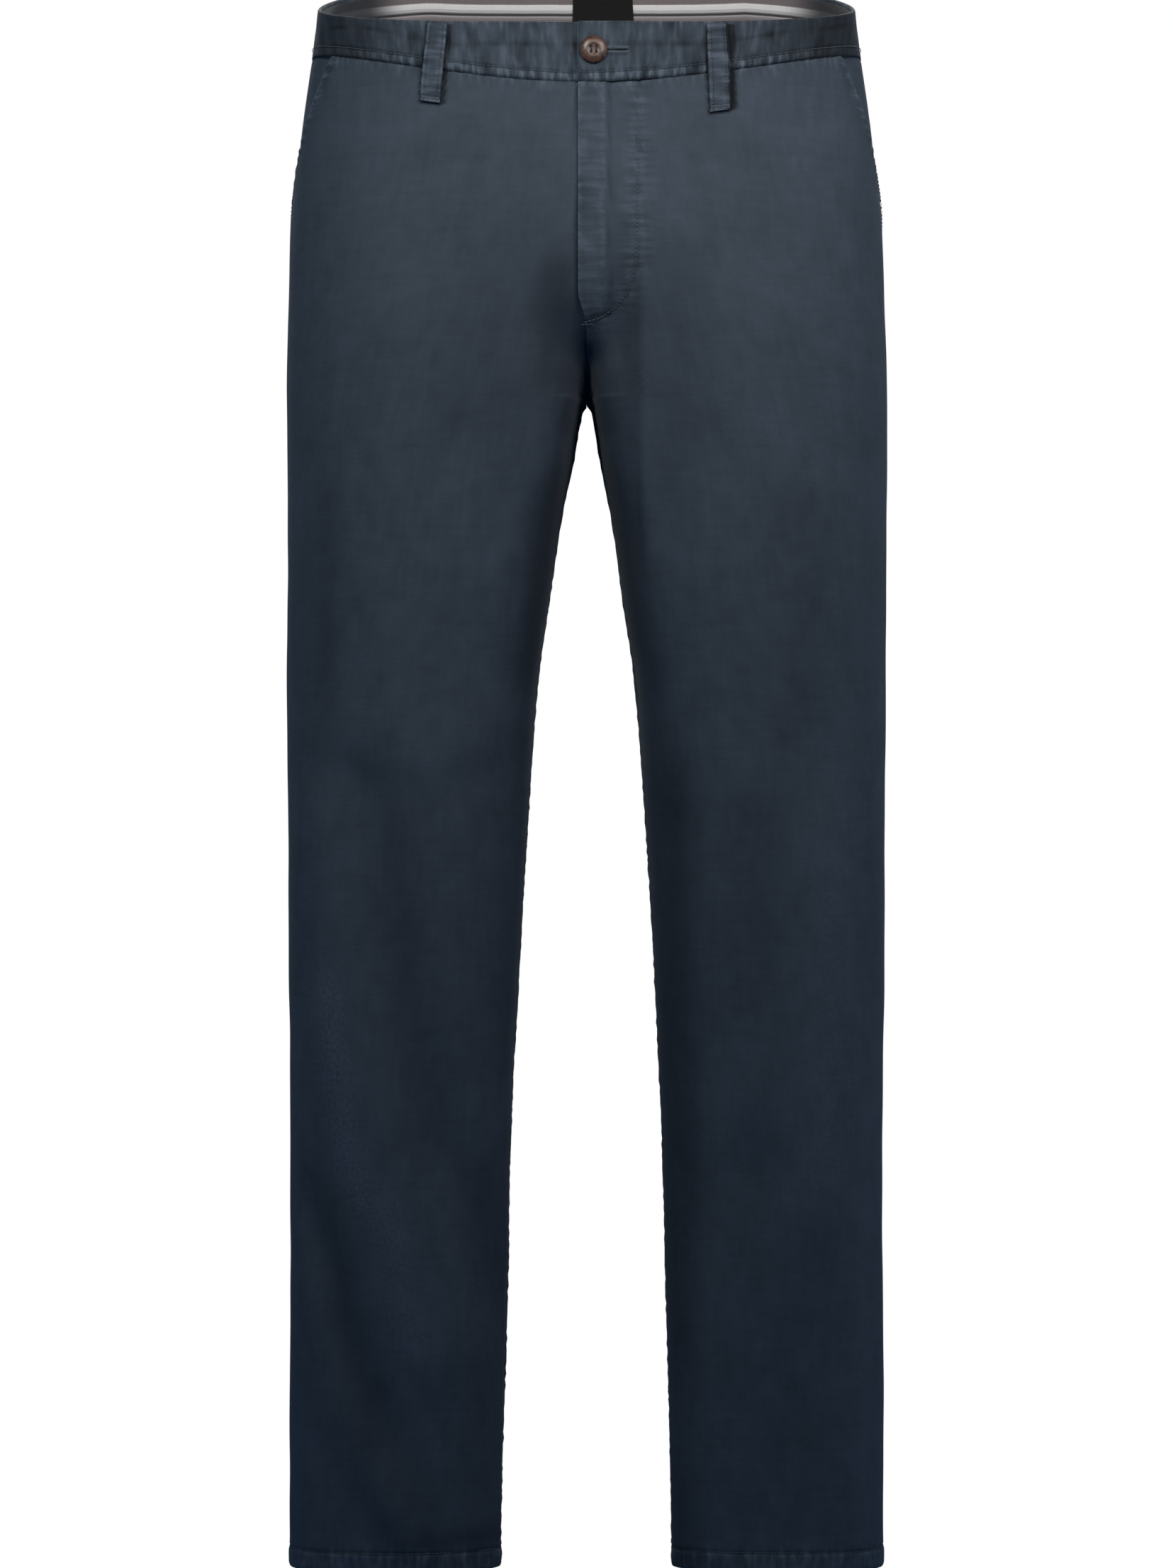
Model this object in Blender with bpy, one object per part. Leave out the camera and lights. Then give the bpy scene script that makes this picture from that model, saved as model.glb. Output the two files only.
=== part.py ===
"""Straight-leg chino trousers, filled out and held at the waist.

Axes: +X is the wearer's left, -Y the front and +Z up. The origin is the centre of the waist opening.
Sizes are in millimetres and become metres where a mesh is made.

The cloth lies on one surface. A point on it is found from u, its share of the way round one half of
the garment (0 centre front or inseam, 0.5 side, 1 centre back or inseam), and z, its height.
"""
import math
from collections import namedtuple

import bmesh
import bpy
import numpy as np
from mathutils import Matrix, Vector

METRES = 0.001

# Cloth and gaps
CLOTH = 1.5              # wall of a panel
BAND_WALL = 2.6          # folded and interfaced waistband
LINING_WALL = 1.0
SEAM_GAP = 0.3           # between two pieces sewn together
LAID_GAP = 0.45          # under a piece laid on a curved one

# Lengths from the waist down
WAIST_Z = -20.0          # mean height of the waist seam
TILT_END_Z = -150.0      # below this the rows are level at the side
CROTCH_Z = -258.0
HEM_Z = -1068.5
HEM_TURN = 14.0
HEM_STEP = 0.5           # height over which the wall thickens at the hem
HEM_WALL = 2.8           # two layers where the hem is turned up

# Waistband edges: heights at centre front, side and centre back
TOP_FRONT, TOP_SIDE, TOP_BACK = -4.5, 18.0, 44.0
SEAM_FRONT, SEAM_SIDE, SEAM_BACK = -46.0, -18.5, 5.0
WAIST_HALF_WIDTH = 189.0
WAIST_HALF_DEPTH = 104.0
SEAM_CURVE = 1.7         # how square the front waist seam's dip is
BAND_PROUD = 0.8         # the band stands out from the panels by this

# Fly
LAP = 5.8                # the left front laps past the centre by this
FLY_RISE = 2.4           # the lap stands out from the panel by this
FLY_STRIP = 12.0         # outer edge of the raised strip
FLY_STRIP_FALL = 5.0
FLY_END_Z = -192.0       # the lap's edge runs in to the centre below this
FLY_END_FALL = 18.0
LIFT_END_Z = -237.0      # the raised strip has sunk into the panel here
BAND_LAP = 7.0
UNDERLAP = 24.0          # the right end of the band runs on under the left end
LAP_SHIFT = 1.5          # each end of the band moves this far, out or in
LEFT_SHIFT_X, LEFT_SHIFT_RUN = 58.0, 30.0        # the left end starts to move out at this x
RIGHT_SHIFT_X, RIGHT_SHIFT_RUN = 38.0, 28.0      # and the right end to move in at this one

# Side pocket
SIDE_SEAM_U = 0.53
MOUTH_TOP_U = 0.435
MOUTH_END_Z = -170.0
MOUTH_CURVE = 1.25       # 1 is a straight mouth, more curves it towards the side seam
FACING_DROP = CLOTH + 0.8
FACING_UNDER_U = 0.026   # the facing starts this share behind the mouth
FACING_LEVEL_U = 0.012   # and stays down for this share past it
FACING_RISE_U = 0.05     # where less than this share shows, it stays lower
FACING_END = 8.0         # it runs on below the mouth's end by this
SIDE_SEAM_GAP_U = 0.0011

# Section curves
FRONT_ROUND, BACK_ROUND = 0.60, 0.585    # Bezier handles: 0.552 is an ellipse, more is squarer
FRONT_SQUARE, BACK_SQUARE = 0.90, 0.80   # and these next to the crotch
SQUARE_END_Z = -520.0    # the inner thigh is round again here
CROTCH_CURVE = 2.6       # powers of the curve that the crotch seam makes, seen from the side
CROTCH_FULL = 0.6
CROTCH_SLACK = 1.15      # and of the flatter curve that the cloth on either side of it follows
SEAM_PULL = 6            # more keeps the seam's pull on the cloth nearer to it
INNER_CORNER = 0.5       # at the hips the inner handles meet half way across the flat of the section
CORNER_LATE = 1.5        # more keeps that corner out for longer on the way down to the crotch

Level = namedtuple("Level", "z outer gap front back front_x back_x")
LEVELS = (
    Level(60.0, 184.5, 0.0, -96.0, 97.0, 52.0, 52.0),
    Level(18.0, 187.3, 0.0, -99.0, 104.0, 54.0, 56.0),
    Level(-18.0, 191.5, 0.0, -102.5, 114.0, 56.0, 62.0),
    Level(-55.0, 197.0, 0.0, -106.0, 126.0, 60.0, 72.0),
    Level(-95.0, 202.5, 0.0, -111.0, 137.0, 64.0, 82.0),
    Level(-134.0, 206.6, 0.0, -115.0, 145.0, 70.0, 90.0),
    Level(-190.0, 207.8, 0.0, -117.0, 148.0, 82.0, 96.0),
    Level(-233.0, 208.9, 0.0, -115.0, 142.0, 92.0, 100.0),
    Level(-258.0, 209.0, 0.1, -112.0, 135.0, 97.0, 103.0),
    Level(-263.0, 209.0, 3.5, -111.3, 133.4, 98.0, 103.6),
    Level(-273.0, 209.0, 5.4, -110.0, 130.0, 100.0, 105.0),
    Level(-303.0, 209.0, 10.4, -106.0, 122.0, 105.0, 108.0),
    Level(-342.0, 209.0, 18.3, -102.0, 112.0, 110.0, 112.0),
    Level(-382.0, 209.0, 23.8, -98.0, 104.0, 113.0, 115.0),
    Level(-461.0, 209.0, 35.1, -89.0, 90.0, 119.0, 120.0),
    Level(-540.0, 208.4, 40.1, -82.0, 75.0, 123.0, 123.0),
    Level(-620.0, 207.9, 45.0, -76.0, 66.0, 126.0, 126.0),
    Level(-738.0, 206.9, 51.5, -68.0, 62.0, 129.0, 129.0),
    Level(-857.0, 206.9, 54.9, -59.0, 59.5, 131.0, 131.0),
    Level(-976.0, 207.3, 58.4, -51.0, 57.5, 133.0, 133.0),
    Level(-1068.5, 207.4, 60.0, -46.0, 56.0, 133.5, 133.5),
)

# Large folds of the cloth, each along a line of three points (x, z). Height is out of the cloth.
Fold = namedtuple("Fold", "face height width x1 z1 x2 z2 x3 z3")
FOLDS = (
    Fold("front", -4.5, 20.0, -148.0, -545.0, -124.0, -690.0, -62.0, -872.0),
    Fold("front", 4.0, 26.0, -187.0, -560.0, -170.0, -700.0, -112.0, -915.0),
    Fold("front", -3.2, 13.0, -189.0, -825.0, -168.0, -892.0, -146.0, -950.0),
    Fold("front", 3.0, 15.0, -189.0, -880.0, -168.0, -960.0, -138.0, -1018.0),
    Fold("front", 2.6, 24.0, -150.0, -508.0, -112.0, -500.0, -78.0, -494.0),
    Fold("front", -2.6, 11.0, -146.0, -538.0, -110.0, -527.0, -74.0, -520.0),
    Fold("front", 2.4, 20.0, 166.0, -560.0, 168.0, -690.0, 164.0, -815.0),
    Fold("front", -3.2, 20.0, 62.0, -560.0, 68.0, -690.0, 72.0, -820.0),
    Fold("front", -3.6, 34.0, 120.0, -800.0, 132.0, -920.0, 128.0, -1040.0),
    Fold("front", 2.2, 12.0, 188.0, -770.0, 190.0, -900.0, 188.0, -1050.0),
    Fold("front", 2.6, 10.0, 39.0, -165.0, 40.0, -330.0, 52.0, -424.0),
    Fold("front", -3.4, 10.0, 20.0, -190.0, 24.0, -300.0, 34.0, -400.0),
    Fold("front", -2.6, 13.0, -24.0, -205.0, -22.0, -225.0, -20.0, -246.0),
    Fold("back", -3.6, 15.0, -30.0, -268.0, -70.0, -292.0, -132.0, -305.0),
    Fold("back", 3.0, 17.0, -40.0, -300.0, -80.0, -328.0, -120.0, -345.0),
    Fold("back", -3.2, 14.0, 26.0, -274.0, 74.0, -300.0, 118.0, -318.0),
    Fold("back", 2.6, 18.0, 44.0, -318.0, 88.0, -345.0, 140.0, -352.0),
    Fold("back", -4.0, 14.0, -170.0, -590.0, -122.0, -604.0, -78.0, -596.0),
    Fold("back", 3.4, 16.0, -164.0, -625.0, -116.0, -640.0, -84.0, -648.0),
    Fold("back", -3.0, 13.0, -150.0, -668.0, -112.0, -676.0, -90.0, -690.0),
    Fold("back", -3.4, 15.0, 84.0, -582.0, 128.0, -596.0, 176.0, -590.0),
    Fold("back", 3.0, 17.0, 80.0, -620.0, 124.0, -632.0, 160.0, -626.0),
    Fold("back", -3.4, 24.0, -160.0, -730.0, -150.0, -850.0, -118.0, -1000.0),
    Fold("back", 3.0, 22.0, -108.0, -740.0, -96.0, -860.0, -84.0, -990.0),
    Fold("back", -3.2, 26.0, 112.0, -700.0, 130.0, -850.0, 150.0, -1010.0),
)
FOLD_TAPER = 40.0        # a fold fades out over this length past its ends
FOLD_FACING = 1.6        # more brings the folds nearer to the side of the leg

# Belt loops: x of the middle, which face, drop below the waist seam, how far it bows out, and twist
Loop = namedtuple("Loop", "name x face drop bow twist")
LOOPS = (
    Loop("belt_loop_front_right", -103.0, "front", 23.0, 2.2, 0.3),
    Loop("belt_loop_front_left", 92.0, "front", 27.0, 2.9, 0.8),
    Loop("belt_loop_side_right", -142.0, "back", 24.0, 2.4, -0.3),
    Loop("belt_loop_side_left", 142.0, "back", 25.0, 2.2, 0.3),
    Loop("belt_loop_back", 0.0, "back", 22.0, 2.0, 0.0),
)
LOOP_WIDTH = 13.5
LOOP_WALL = 1.4
LOOP_TOP_INSET = 2.0     # below the top edge of the band
LOOP_STEP = 3.0          # height over which a loop steps off the band's foot
LOOP_FULLNESS = 0.7      # less than 1 bows a loop out more squarely

# Back pockets: one welt each
WELT_X = 88.0
WELT_LENGTH = 128.0
WELT_HEIGHT = 12.0
WELT_DROP = 62.0         # below the waist seam
WELT_WALL = 1.4
WELT_SLOPE = 0.35        # share of the waist seam's slope that a welt follows

# Lining and label
LINING_TOP = 3.0         # below the top edge of the band
LINING_FOOT = 1.0        # above the waist seam
LABEL_X = 12.0
LABEL_WIDTH = 44.0
LABEL_HEIGHT = 30.0
LABEL_TOP = 5.0
LABEL_WALL = 0.6
LABEL_Z = 20.0           # the patch's width is measured at this height

# Button
BUTTON_X, BUTTON_Z = 5.4, -21.8
BUTTON_RADIUS = 8.8
BUTTON_THICKNESS = 3.4
BUTTON_DISH = 1.0        # depth of the middle below the rim
BUTTON_SEGMENTS = 32
HOLE_RADIUS = 0.95
HOLE_SPACING = 1.75      # from the middle to each hole, along X and Z
HOLE_SEGMENTS = 10

# Zip
ZIP_X = 4.0
ZIP_HALF_WIDTH = 13.0
ZIP_TOP_Z, ZIP_END_Z = -54.0, -158.0
ZIP_DEPTH = -CLOTH - 0.8
ZIP_WALL = 1.1
SLIDER_X = 6.4
SLIDER_Z = -60.0
SLIDER_WIDTH = 6.0
SLIDER_LENGTH, SLIDER_PULL = 9.0, 15.0
SLIDER_THICK, PULL_THICK = 1.9, 0.9

# Grids
ROWS_TILTED = 7          # waist seam to the level rows
ROWS_CROTCH = 8          # down the crotch curve
ROWS_LEG = 25
PANEL_COLUMNS = 11
THIGH_STEPS = (-263.0, -272.0, -286.0, -305.0, -328.0, -354.0)
SEAM_STOPS = (6.0, 18.0, 24.0)      # columns this far from the centre front edge, down to the crotch
STOPS_FADE = 40.0        # above the crotch, the stops become even steps over this height
FACING_COLUMNS = 7
BAND_COLUMNS, BAND_ROWS, LINING_ROWS = 26, 4, 3
LOOP_COLUMNS, LOOP_ROWS = 3, 10
WELT_COLUMNS, WELT_ROWS = 11, 3
LABEL_COLUMNS, LABEL_ROWS = 5, 3
ZIP_COLUMNS, ZIP_ROWS = 5, 9
DENSE = 240              # points that measure the cloth's length along a row
NEAR_CENTRE = 60         # so many of them are searched for an x at the centre front
PAST_CENTRE = 0.06       # a row that laps the centre is measured from this share before it
FRONT_SHARES, BACK_SHARES = (0.0, 0.42), (0.58, 1.0)
SHARP_ANGLE = math.radians(40.0)


# ---------------------------------------------------------------- the form

def ease(share):
    """A smooth step from 0 to 1."""
    share = np.clip(share, 0.0, 1.0)
    return share * share * (3.0 - 2.0 * share)


def level(z, column):
    """One column of LEVELS at the heights z, on a monotone cubic through its rows."""
    knots = np.array([row.z for row in LEVELS])[::-1]
    values = np.array([getattr(row, column) for row in LEVELS])[::-1]
    spans = np.diff(knots)
    rates = np.diff(values) / spans
    slopes = np.zeros(len(knots))
    slopes[0], slopes[-1] = rates[0], rates[-1]
    before, after = rates[:-1], rates[1:]
    same = before * after > 0.0
    slopes[1:-1][same] = 2.0 * before[same] * after[same] / (before[same] + after[same])
    i = np.clip(np.searchsorted(knots, z) - 1, 0, len(spans) - 1)
    t = np.clip((z - knots[i]) / spans[i], 0.0, 1.0)
    start = values[i] * (1 + 2 * t) * (1 - t) ** 2 + slopes[i] * spans[i] * t * (1 - t) ** 2
    end = values[i + 1] * t * t * (3 - 2 * t) - slopes[i + 1] * spans[i] * t * t * (1 - t)
    return start + end


def bezier(a, b, c, d, t):
    """A cubic Bezier curve on arrays of (x, y) points."""
    s = 1.0 - t
    return a * s ** 3 + 3 * b * s * s * t + 3 * c * s * t * t + d * t ** 3


def crotch_depth(z):
    """How far down the crotch seam z is, from 0 to 1."""
    return np.clip((TILT_END_Z - z) / (TILT_END_Z - CROTCH_Z), 0.0, 1.0)


def inner_quarter(seam_x, flat_x, flat_y, z, round_handle, square_handle, t):
    """Points of the inner quarter of a section, from the crotch seam or inseam where t is 0 out to
    the middle of its flat where t is 1. Both handles run towards one corner, which moves in to the
    seam on the way down to the crotch."""
    depth = crotch_depth(z)
    turned = ease(depth ** CORNER_LATE)
    left = 1.0 - depth ** CROTCH_CURVE
    seam_y, slack_y = flat_y * left ** CROTCH_FULL, flat_y * left ** CROTCH_SLACK
    corner_x = seam_x + INNER_CORNER * (1.0 - turned) * (flat_x - seam_x)
    thigh = 1.0 - ease((CROTCH_Z - z) / (CROTCH_Z - SQUARE_END_Z))
    handle = (round_handle + (square_handle - round_handle) * turned * thigh)[..., None]
    seam = np.stack([seam_x, slack_y], axis=-1)
    flat = np.stack([flat_x, flat_y], axis=-1)
    corner = np.stack([corner_x, flat_y], axis=-1)
    points = bezier(seam, seam + handle * (corner - seam), flat + handle * (corner - flat), flat, t)
    points[..., 1] += (seam_y - slack_y) * (1.0 - t[..., 0]) ** SEAM_PULL
    return points


def section(u, z):
    """Points (x, y, z) of the left half at the shares u and heights z. A share below 0 or above 1 is
    past the centre, on the other half."""
    u, z = np.broadcast_arrays(np.asarray(u, float), np.asarray(z, float))
    past = (u < 0.0) | (u > 1.0)
    u = np.where(u < 0.0, -u, np.where(u > 1.0, 2.0 - u, u))
    outer, gap = level(z, "outer"), level(z, "gap")
    front, back = level(z, "front"), level(z, "back")
    front_x, back_x = level(z, "front_x"), level(z, "back_x")

    def pair(x, y):
        return np.stack([x + 0.0 * z, y + 0.0 * z], axis=-1)

    side, front_flat, back_flat = pair(outer, 0.0), pair(front_x, front), pair(back_x, back)
    f, b = FRONT_ROUND, BACK_ROUND
    t = (u * 4.0) % 1.0
    t = np.where(u >= 1.0, 1.0, t)[..., None]
    quarters = (
        inner_quarter(gap, front_x, front, z, f, FRONT_SQUARE, t),
        bezier(front_flat, front_flat + pair(f * (outer - front_x), 0.0),
               side + pair(0.0, f * front), side, t),
        bezier(side, side + pair(0.0, b * back),
               back_flat + pair(b * (outer - back_x), 0.0), back_flat, t),
        inner_quarter(gap, back_x, back, z, b, BACK_SQUARE, 1.0 - t),
    )
    quarter = np.clip((u * 4.0).astype(int), 0, 3)[..., None]
    xy = np.choose(quarter, quarters)
    x = np.where(past, -xy[..., 0], xy[..., 0])
    return np.stack([x, xy[..., 1], z], axis=-1)


def outward(u, z):
    """Unit normals of the surface, pointing out of the garment."""
    du, dz = 0.0008, 0.6
    inside = np.where(u < 0.0, np.minimum(u, -du), np.clip(u, du, 1.0 - du))
    inside = np.where(u > 1.0, np.maximum(u, 1.0 + du), inside)
    along = section(inside + du, z) - section(inside - du, z)
    up = section(inside, z + dz) - section(inside, z - dz)
    normal = np.cross(along, up)
    return normal / np.linalg.norm(normal, axis=-1, keepdims=True)


def fold_height(points, normals):
    """How far the large folds move each point out along its normal. The points are world points."""
    height = np.zeros(points.shape[:-1])
    flat = points[..., (0, 2)]
    for fold in FOLDS:
        facing = -normals[..., 1] if fold.face == "front" else normals[..., 1]
        stops = np.array([(fold.x1, fold.z1), (fold.x2, fold.z2), (fold.x3, fold.z3)])
        nearest = np.full(height.shape, np.inf)
        beyond = np.full(height.shape, np.inf)
        for a, b in zip(stops[:-1], stops[1:]):
            run = b - a
            share = ((flat - a) @ run) / (run @ run)
            foot = a + np.clip(share, 0.0, 1.0)[..., None] * run
            away = np.linalg.norm(flat - foot, axis=-1)
            past = np.abs(share - np.clip(share, 0.0, 1.0)) * math.sqrt(run @ run)
            beyond = np.where(away < nearest, past, beyond)
            nearest = np.minimum(nearest, away)
        side = np.sqrt(np.maximum(nearest ** 2 - beyond ** 2, 0.0))
        shape = np.exp(-(side / fold.width) ** 2 - (beyond / FOLD_TAPER) ** 2)
        height += fold.height * shape * ease(facing * FOLD_FACING)
    return height


def waist_edge(u, front, side, back, curve=None):
    """Height of an edge of the waistband at the shares u."""
    at = section(u, np.full(np.shape(u), WAIST_Z))
    if curve:
        wide = np.clip(np.abs(at[..., 0]) / WAIST_HALF_WIDTH, 0.0, 1.0)
        share = 1.0 - wide ** curve
    else:
        share = np.clip(np.abs(at[..., 1]) / WAIST_HALF_DEPTH, 0.0, 1.0)
    return np.where(at[..., 1] < 0.0, side + (front - side) * share, side + (back - side) * share)


def top_edge(u):
    return waist_edge(u, TOP_FRONT, TOP_SIDE, TOP_BACK)


def waist_seam(u):
    return waist_edge(u, SEAM_FRONT, SEAM_SIDE, SEAM_BACK, SEAM_CURVE)


def cloth_point(side, u, z, lift):
    """World points and normals of the cloth, moved out by lift. Side is 1 for left, -1 for right."""
    flip = np.array([side, 1.0, 1.0])
    base = section(u, z) * flip
    normals = outward(u, z) * flip
    out = fold_height(base, normals) + lift
    return base + normals * out[..., None], normals


# ---------------------------------------------------------------- rows and columns

def row_heights(u, side_z, drop):
    """Heights of one row at the shares u: near the waist it follows the waist seam, and near the
    crotch it dips to the crotch seam at the centre."""
    from_waist = ease((side_z - TILT_END_Z) / (WAIST_Z - TILT_END_Z))
    z = side_z + (waist_seam(u) - WAIST_Z) * from_waist
    to_centre = np.clip(1.0 - np.minimum(np.abs(u), np.abs(1.0 - u)) * 4.0, 0.0, 1.0)
    return z + drop * to_centre ** 2


def panel_rows():
    """Each row of a panel as its height at the side and its drop at the crotch seam."""
    rows = []
    for i in range(ROWS_TILTED):
        rows.append((WAIST_Z + (TILT_END_Z - WAIST_Z) * i / ROWS_TILTED, 0.0))
    span = CROTCH_Z - TILT_END_Z
    for i in range(ROWS_CROTCH):
        share = i / ROWS_CROTCH
        seam = math.sin(share * math.pi / 2) ** (2.0 / CROTCH_CURVE)
        rows.append((TILT_END_Z + span * share, span * (seam - share)))
    rows.append((CROTCH_Z, 0.0))
    rows += [(z, 0.0) for z in THIGH_STEPS]
    last = THIGH_STEPS[-1]
    foot = HEM_Z + HEM_TURN
    rows += [(last + (foot - last) * i / ROWS_LEG, 0.0) for i in range(1, ROWS_LEG + 1)]
    rows += [(foot - HEM_STEP, 0.0), (HEM_Z, 0.0)]
    return rows


def mouth_u(z):
    """Share at the front pocket's mouth, where the front panel ends, or the side seam below it."""
    along = np.clip((z - MOUTH_END_Z) / (SEAM_SIDE - MOUTH_END_Z), 0.0, 1.0)
    return SIDE_SEAM_U + (MOUTH_TOP_U - SIDE_SEAM_U) * along ** MOUTH_CURVE


def spread(line, start, stops, count, blend):
    """Positions along one row at count places from start to its end, by length of cloth. The stops
    are set distances from the start that hold where blend is 1, and even steps where it is 0."""
    steps = np.linalg.norm(np.diff(line, axis=0), axis=1)
    length = np.concatenate([[0.0], np.cumsum(steps)])
    first = np.interp(start, np.arange(len(line)), length)
    even = np.linspace(first + SEAM_GAP / 2, length[-1] - SEAM_GAP / 2, count)
    set_out = even.copy()
    if stops:
        set_out[1:1 + len(stops)] = even[0] + np.array(stops)
        set_out[1 + len(stops):] = np.linspace(set_out[len(stops)], even[-1], count - len(stops))[1:]
    places = even + (set_out - even) * blend
    return np.interp(places, length, np.arange(len(line)))


def grid_shares(rows, u_start, u_end, count, stops=(), edge_x=None):
    """Shares and heights of a grid: an array of u and one of z, with a row for each of rows. Where
    edge_x is given, the rows that reach the fly begin at its x, past the centre line."""
    shares, heights = [], []
    for side_z, drop in rows:
        laps = edge_x is not None and side_z + drop > FLY_END_Z - FLY_END_FALL
        u = np.linspace(-PAST_CENTRE if laps else u_start, u_end(side_z), DENSE)
        line = section(u, row_heights(u, side_z, drop))
        begin = 0.0
        if laps:
            begin = float(np.interp(edge_x(side_z + drop), line[:NEAR_CENTRE, 0], np.arange(NEAR_CENTRE)))
        blend = float(ease((side_z - CROTCH_Z + STOPS_FADE) / STOPS_FADE))
        at = spread(line, begin, stops, count, blend)
        row_u = np.interp(at, np.arange(DENSE), u)
        shares.append(row_u)
        heights.append(row_heights(row_u, side_z, drop))
    return np.array(shares), np.array(heights)


def clear_of_centre(points, side, clearance=SEAM_GAP / 2):
    """Keeps a panel's points on its own side of the centre plane."""
    points[..., 0] = np.where(side * points[..., 0] < clearance, side * clearance, points[..., 0])
    return points


# ---------------------------------------------------------------- solids

def material(name, colour, roughness, metallic=0.0):
    """A Principled material."""
    made = bpy.data.materials.new(name)
    made.use_nodes = True
    shader = made.node_tree.nodes["Principled BSDF"]
    shader.inputs["Base Color"].default_value = (*colour, 1.0)
    shader.inputs["Roughness"].default_value = roughness
    shader.inputs["Metallic"].default_value = metallic
    return made


def add_object(name, mesh, finish, parent):
    """Links a mesh to the scene under the garment's empty."""
    mesh.materials.append(finish)
    made = bpy.data.objects.new(name, mesh)
    made.parent = parent
    bpy.context.collection.objects.link(made)
    return made


def wall(name, outer, inner, finish, parent):
    """A closed wall between two grids of points with the same rows and columns."""
    rows, columns = outer.shape[:2]
    shape = bmesh.new()
    skins = []
    for grid in (outer, inner):
        skins.append([[shape.verts.new(Vector(p) * METRES) for p in row] for row in grid])
    for skin, turn in zip(skins, (1, -1)):
        for i in range(rows - 1):
            for j in range(columns - 1):
                corners = (skin[i][j], skin[i][j + 1], skin[i + 1][j + 1], skin[i + 1][j])
                shape.faces.new(corners[::turn])
    front, back = skins
    rim = [(0, j) for j in range(columns)]
    rim += [(i, columns - 1) for i in range(1, rows)]
    rim += [(rows - 1, j) for j in range(columns - 2, -1, -1)]
    rim += [(i, 0) for i in range(rows - 2, 0, -1)]
    for (i, j), (k, m) in zip(rim, rim[1:] + rim[:1]):
        shape.faces.new((front[i][j], back[i][j], back[k][m], front[k][m]))
    bmesh.ops.recalc_face_normals(shape, faces=shape.faces)
    bmesh.ops.triangulate(shape, faces=shape.faces, quad_method="SHORT_EDGE")
    mesh = bpy.data.meshes.new(name)
    shape.to_mesh(mesh)
    shape.free()
    mesh.shade_smooth()
    mesh.set_sharp_from_angle(angle=SHARP_ANGLE)
    return add_object(name, mesh, finish, parent)


def sheet_wall(name, side, u, z, lift, thick, finish, parent, split=False):
    """A wall of cloth at the shares u and heights z, lifted off the surface."""
    outer, normals = cloth_point(side, u, z, lift)
    inner = outer - normals * np.broadcast_to(thick, u.shape)[..., None]
    if split:
        outer, inner = clear_of_centre(outer, side), clear_of_centre(inner, side)
    return wall(name, outer, inner, finish, parent)


# ---------------------------------------------------------------- the panels

def hem_wall(z):
    """Wall of a panel: thicker where the hem is turned up."""
    return np.where(z < HEM_Z + HEM_TURN - HEM_STEP / 2, HEM_WALL, CLOTH)


def fly_edge(z):
    """The x of the left front's edge: past the centre along the fly, at it below."""
    share = ease((z - FLY_END_Z + FLY_END_FALL) / FLY_END_FALL)
    return SEAM_GAP / 2 - (LAP + SEAM_GAP / 2) * share


def fly_lift(x, z):
    """How far the left front stands out over the zip."""
    across = 1.0 - ease((x - FLY_STRIP) / FLY_STRIP_FALL)
    down = ease((z - LIFT_END_Z) / FLY_END_FALL)
    return FLY_RISE * across * down


def front_panel(side, name, finish, parent):
    rows = panel_rows()
    edge = fly_edge if side > 0 else None
    u, z = grid_shares(rows, 0.0, mouth_u, PANEL_COLUMNS + len(SEAM_STOPS), SEAM_STOPS, edge)
    z[0] -= SEAM_GAP / 2
    if side < 0:
        return sheet_wall(name, side, u, z, np.zeros(u.shape), hem_wall(z), finish, parent, True)
    lift = fly_lift(section(u, z)[..., 0], z)
    outer, normals = cloth_point(side, u, z, lift)
    inner = outer - normals * hem_wall(z)[..., None]
    below = z[:, :1] < FLY_END_Z - FLY_END_FALL
    outer = np.where(below[..., None], clear_of_centre(outer.copy(), side), outer)
    inner = np.where(below[..., None], clear_of_centre(inner.copy(), side), inner)
    return wall(name, outer, inner, finish, parent)


def back_panel(side, name, finish, parent):
    u, z = grid_shares(panel_rows(), SIDE_SEAM_U, lambda side_z: 1.0, PANEL_COLUMNS + 1)
    z[0] -= SEAM_GAP / 2
    return sheet_wall(name, side, u, z, np.zeros(u.shape), hem_wall(z), finish, parent, True)


def pocket_facing(side, name, finish, parent):
    """The cloth behind the slanted pocket mouth, from under the front panel to the side seam."""
    rows = [row for row in panel_rows() if row[0] > MOUTH_END_Z - FACING_END]
    shares, heights = [], []
    for side_z, _ in rows:
        start = float(mouth_u(side_z)) - FACING_UNDER_U
        u = np.linspace(start, SIDE_SEAM_U - SIDE_SEAM_GAP_U, FACING_COLUMNS)
        shares.append(u)
        heights.append(row_heights(u, side_z, 0.0))
    u, z = np.array(shares), np.array(heights)
    z[0] -= SEAM_GAP / 2
    shown = SIDE_SEAM_U - mouth_u(z)
    across = (u - mouth_u(z) - FACING_LEVEL_U) / np.maximum(shown - FACING_LEVEL_U, FACING_LEVEL_U)
    lift = -FACING_DROP * (1.0 - ease(across) * ease(shown / FACING_RISE_U))
    return sheet_wall(name, side, u, z, lift, CLOTH, finish, parent)


# ---------------------------------------------------------------- the waistband

def band_shares(start_x, short_of):
    """Even shares round one half of the waist, from start_x to the centre back, without those whose
    x on the front is less than short_of."""
    u = np.linspace(-PAST_CENTRE, 1.0, DENSE)
    line = section(u, waist_seam(u))
    begin = float(np.interp(start_x, line[:NEAR_CENTRE, 0], np.arange(NEAR_CENTRE)))
    at = spread(line, begin, (), BAND_COLUMNS, 0.0)
    shares = np.interp(at, np.arange(DENSE), u)
    x = section(shares, waist_seam(shares))[:, 0]
    return shares[(shares > 0.5) | (x > short_of)]


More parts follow.
